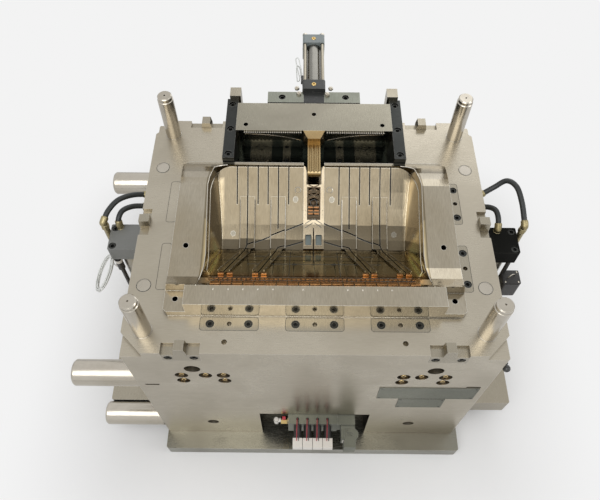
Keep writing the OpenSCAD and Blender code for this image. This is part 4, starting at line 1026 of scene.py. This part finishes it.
valves = {
    "first": -0.0469,
    "pitch": 0.0346,
    "leadRadius": 0.0013,
    "route": [(-0.446, 0.286), (-0.449, 0.297), (-0.462, 0.302), (-0.485, 0.299), (-0.505, 0.289),
              (-0.517, 0.272)],
    "leadApart": 0.0022,
    "grommetAt": (-0.446, 0.2782),
    "grommet": 0.0048,
}


def addValveLeads(s):
    red, black = bmesh.new(), bmesh.new()
    for i in range(4):
        x = s["first"] + i * s["pitch"]
        for shape, shift in ((red, -s["leadApart"]), (black, s["leadApart"])):
            path = smoothPath([(x + shift * (0.6 + 0.9 * k / 5), y, z)
                               for k, (y, z) in enumerate(s["route"])], 5)
            line(shape, path, s["leadRadius"], 10)
        turn(black, (x, *s["grommetAt"]), (0, 0, 1),
             [(0, s["grommet"]), (0.0105, s["grommet"]), (0.0125, s["grommet"] * 0.7)], 20)
    attach("redLeads", red, "black_plastic", redLead)
    attach("blackLeads", black, "black_plastic")


addValveLeads(valves)

fitting = {
    "y": -0.442,
    "z": 0.258,
    "nutFrom": -0.1055,
    "nut": (0.0268, 0.0245, 0.0135),
    "sleeveFrom": -0.1212,
    "sleeve": 0.0074,
    "elbowX": -0.122,
    "elbow": 0.0094,
    "tab": (-0.101, -0.089),
}


def addFittingSleeves(s):
    brass, white, red = bmesh.new(), bmesh.new(), bmesh.new()
    y, z, elbow = s["y"], s["z"], s["elbow"]
    hexNut(brass, (s["nutFrom"], y, z), (1, 0, 0), *s["nut"])
    turn(white, (s["sleeveFrom"], y, z), (1, 0, 0), [(0, s["sleeve"]), (0.0155, s["sleeve"])], 28)
    turn(white, (s["elbowX"], y, z - 0.0215), (0, 0, 1),
         [(0, elbow * 0.94), (0.002, elbow), (0.028, elbow), (0.031, elbow * 0.7)], 28)
    block(red, (s["tab"][0], y - 0.005, z + 0.0125), (s["tab"][1], y + 0.005, z + 0.0255), 0.0012)
    attach("fittingNut", brass, "brass")
    attach("fittingElbow", white, "white_plastic")
    attach("fittingTab", red, "black_plastic", redLead)


addFittingSleeves(fitting)

connector = {"x": (0.104, 0.152), "y": (-0.512, -0.464), "z": (0.224, 0.278)}


def addConnectorTrim(s):
    grey, white = bmesh.new(), bmesh.new()
    (left, right), (front, back), (low, high) = s["x"], s["y"], s["z"]
    block(grey, (left - 0.0006, back - 0.010, low - 0.0004), (right + 0.0006, back - 0.002, high + 0.0006))
    for x in (left + 0.010, left + 0.018):
        block(grey, (x, front + 0.004, high - 0.0002), (x + 0.003, back - 0.014, high + 0.0014), 0.0005)
    block(white, (left + 0.004, front - 0.0012, low + 0.012),
          (left + 0.022, front + 0.0004, high - 0.012), 0.0005)
    attach("connectorRibs", grey, "manifold_alloy")
    attach("connectorPad", white, "white_plastic")


addConnectorTrim(connector)
print("valve set made")


# Switches at the ejector cylinders

switches = {
    "sleeve": (-0.650, -0.025, 0.644),
    "sleeveRadius": 0.0125,
    "exit": (-0.6615, -0.025, 0.613),  # where the white cable leaves
    "lid": ((0.645, -0.071, 0.591), (0.703, -0.019, 0.594)),
    "screwIn": 0.007,
    "screw": [(0, 0.003), (0.0012, 0.003), (0.0018, 0.002)],
    "bail": 0.013,
}


def addSwitchDetails(s):
    white, black, wire = bmesh.new(), bmesh.new(), bmesh.new()
    radius = s["sleeveRadius"]
    turn(white, s["sleeve"], (0, 0, 1), [(0, radius), (0.014, radius), (0.016, radius * 0.8)], 28)
    turn(white, s["exit"], (-1, 0.1, 0), [(0, 0.0046), (0.004, 0.0042), (0.0075, 0.0028)], 20)
    low, high = s["lid"]
    block(black, low, high, 0.0012)
    for x in (low[0] + s["screwIn"], high[0] - s["screwIn"]):
        for y in (low[1] + s["screwIn"], high[1] - s["screwIn"]):
            turn(wire, (x, y, high[2] - 0.0005), (0, 0, 1), s["screw"], 16)
    middle = Vector(((low[0] + high[0]) / 2, (low[1] + high[1]) / 2, high[2] - 0.001))
    path = [middle + Vector((s["bail"] * math.cos(a), 0.006 * math.cos(a), s["bail"] * 1.3 * math.sin(a)))
            for a in (math.pi * k / 16 for k in range(17))]
    line(wire, path, 0.0016, 10)
    attach("switchSleeve", white, "white_plastic")
    attach("switchLid", black, "black_plastic")
    attach("switchBail", wire, "pillar_steel")


addSwitchDetails(switches)
print("switches made")


# Stage: floor, world and lamps

stage = {
    "paper": 0.896,  # the photograph's background
    "floor": 0.86,
    "ambient": 0.55,
    "size": 16.0,
    "drop": -0.0005,
    "reach": (0.66, 0.52, 0.0),  # the fade starts outside this
    "fadeFrom": 0.02,
    "fadeTo": 0.55,
}
lamps = [
    {"name": "keyLamp", "place": (-0.8, -2.3, 4.3), "size": 3.4, "power": 84.0},
    {"name": "backLamp", "place": (0.9, 3.4, 2.2), "size": 3.0, "power": 26.0},
    {"name": "sideLamp", "place": (3.2, -0.6, 2.6), "size": 1.6, "power": 18.0},
]


def addFloor(s):
    shape = bmesh.new()
    half = s["size"] / 2
    shape.faces.new([shape.verts.new((x * half, y * half, s["drop"]))
                     for x, y in ((-1, -1), (1, -1), (1, 1), (-1, 1))])
    material, tree, shader = newMaterial("floor")
    shader.inputs["Roughness"].default_value = 0.9
    shader.inputs["Specular IOR Level"].default_value = 0.0
    where = addNode(tree, "ShaderNodeTexCoord").outputs["Object"]
    speck = addNode(tree, "ShaderNodeTexNoise", {"Vector": where, "Scale": 30.0})
    tone = mixColor(tree, speck.outputs["Fac"], (s["floor"],) * 3, (s["floor"] * 1.01,) * 3)
    tree.links.new(tone, shader.inputs["Base Color"])
    beyond = vectorNode(tree, "SUBTRACT", vectorNode(tree, "ABSOLUTE", where), s["reach"])
    distance = vectorNode(tree, "LENGTH", vectorNode(tree, "MAXIMUM", beyond, (0, 0, 0)))
    fade = {"Value": distance, "From Min": s["fadeFrom"], "From Max": s["fadeTo"]}
    far = addNode(tree, "ShaderNodeMapRange", fade, interpolation_type="SMOOTHSTEP").outputs["Result"]
    seen = addNode(tree, "ShaderNodeLightPath").outputs["Is Camera Ray"]
    amount = mathNode(tree, "MULTIPLY", far, seen)
    paper = addNode(tree, "ShaderNodeEmission", {"Color": (s["paper"], s["paper"], s["paper"], 1)})
    both = addNode(tree, "ShaderNodeMixShader", {0: amount, 1: shader.outputs["BSDF"], 2: paper.outputs[0]})
    output = [node for node in tree.nodes if node.type == "OUTPUT_MATERIAL"][0]
    tree.links.new(both.outputs[0], output.inputs["Surface"])
    finishMesh("floor", shape, material)


def addWorld(s):
    world = bpy.data.worlds.new("studio")
    bpy.context.scene.world = world
    world.use_nodes = True
    tree = world.node_tree
    tree.nodes.clear()
    paths = addNode(tree, "ShaderNodeLightPath").outputs
    first = mathNode(tree, "MAXIMUM", paths["Is Camera Ray"], paths["Is Glossy Ray"])
    seen = mathNode(tree, "MAXIMUM", first, paths["Is Transmission Ray"])
    tone = mixColor(tree, seen, (s["ambient"],) * 3, (s["paper"],) * 3)
    sky = addNode(tree, "ShaderNodeBackground", {"Color": tone})
    output = addNode(tree, "ShaderNodeOutputWorld")
    tree.links.new(sky.outputs[0], output.inputs["Surface"])


def addLamp(s):
    data = bpy.data.lights.new(s["name"], "AREA")
    data.shape = "SQUARE"
    data.size = s["size"]
    data.energy = s["power"]
    thing = bpy.data.objects.new(s["name"], data)
    thing.location = s["place"]
    thing.rotation_euler = (Vector((0, 0, 0.6)) - Vector(s["place"])).to_track_quat("-Z", "Y").to_euler()
    collection.objects.link(thing)


addFloor(stage)
addWorld(stage)
for lamp in lamps:
    addLamp(lamp)
bpy.context.scene.view_settings.view_transform = "Standard"
print("stage set")
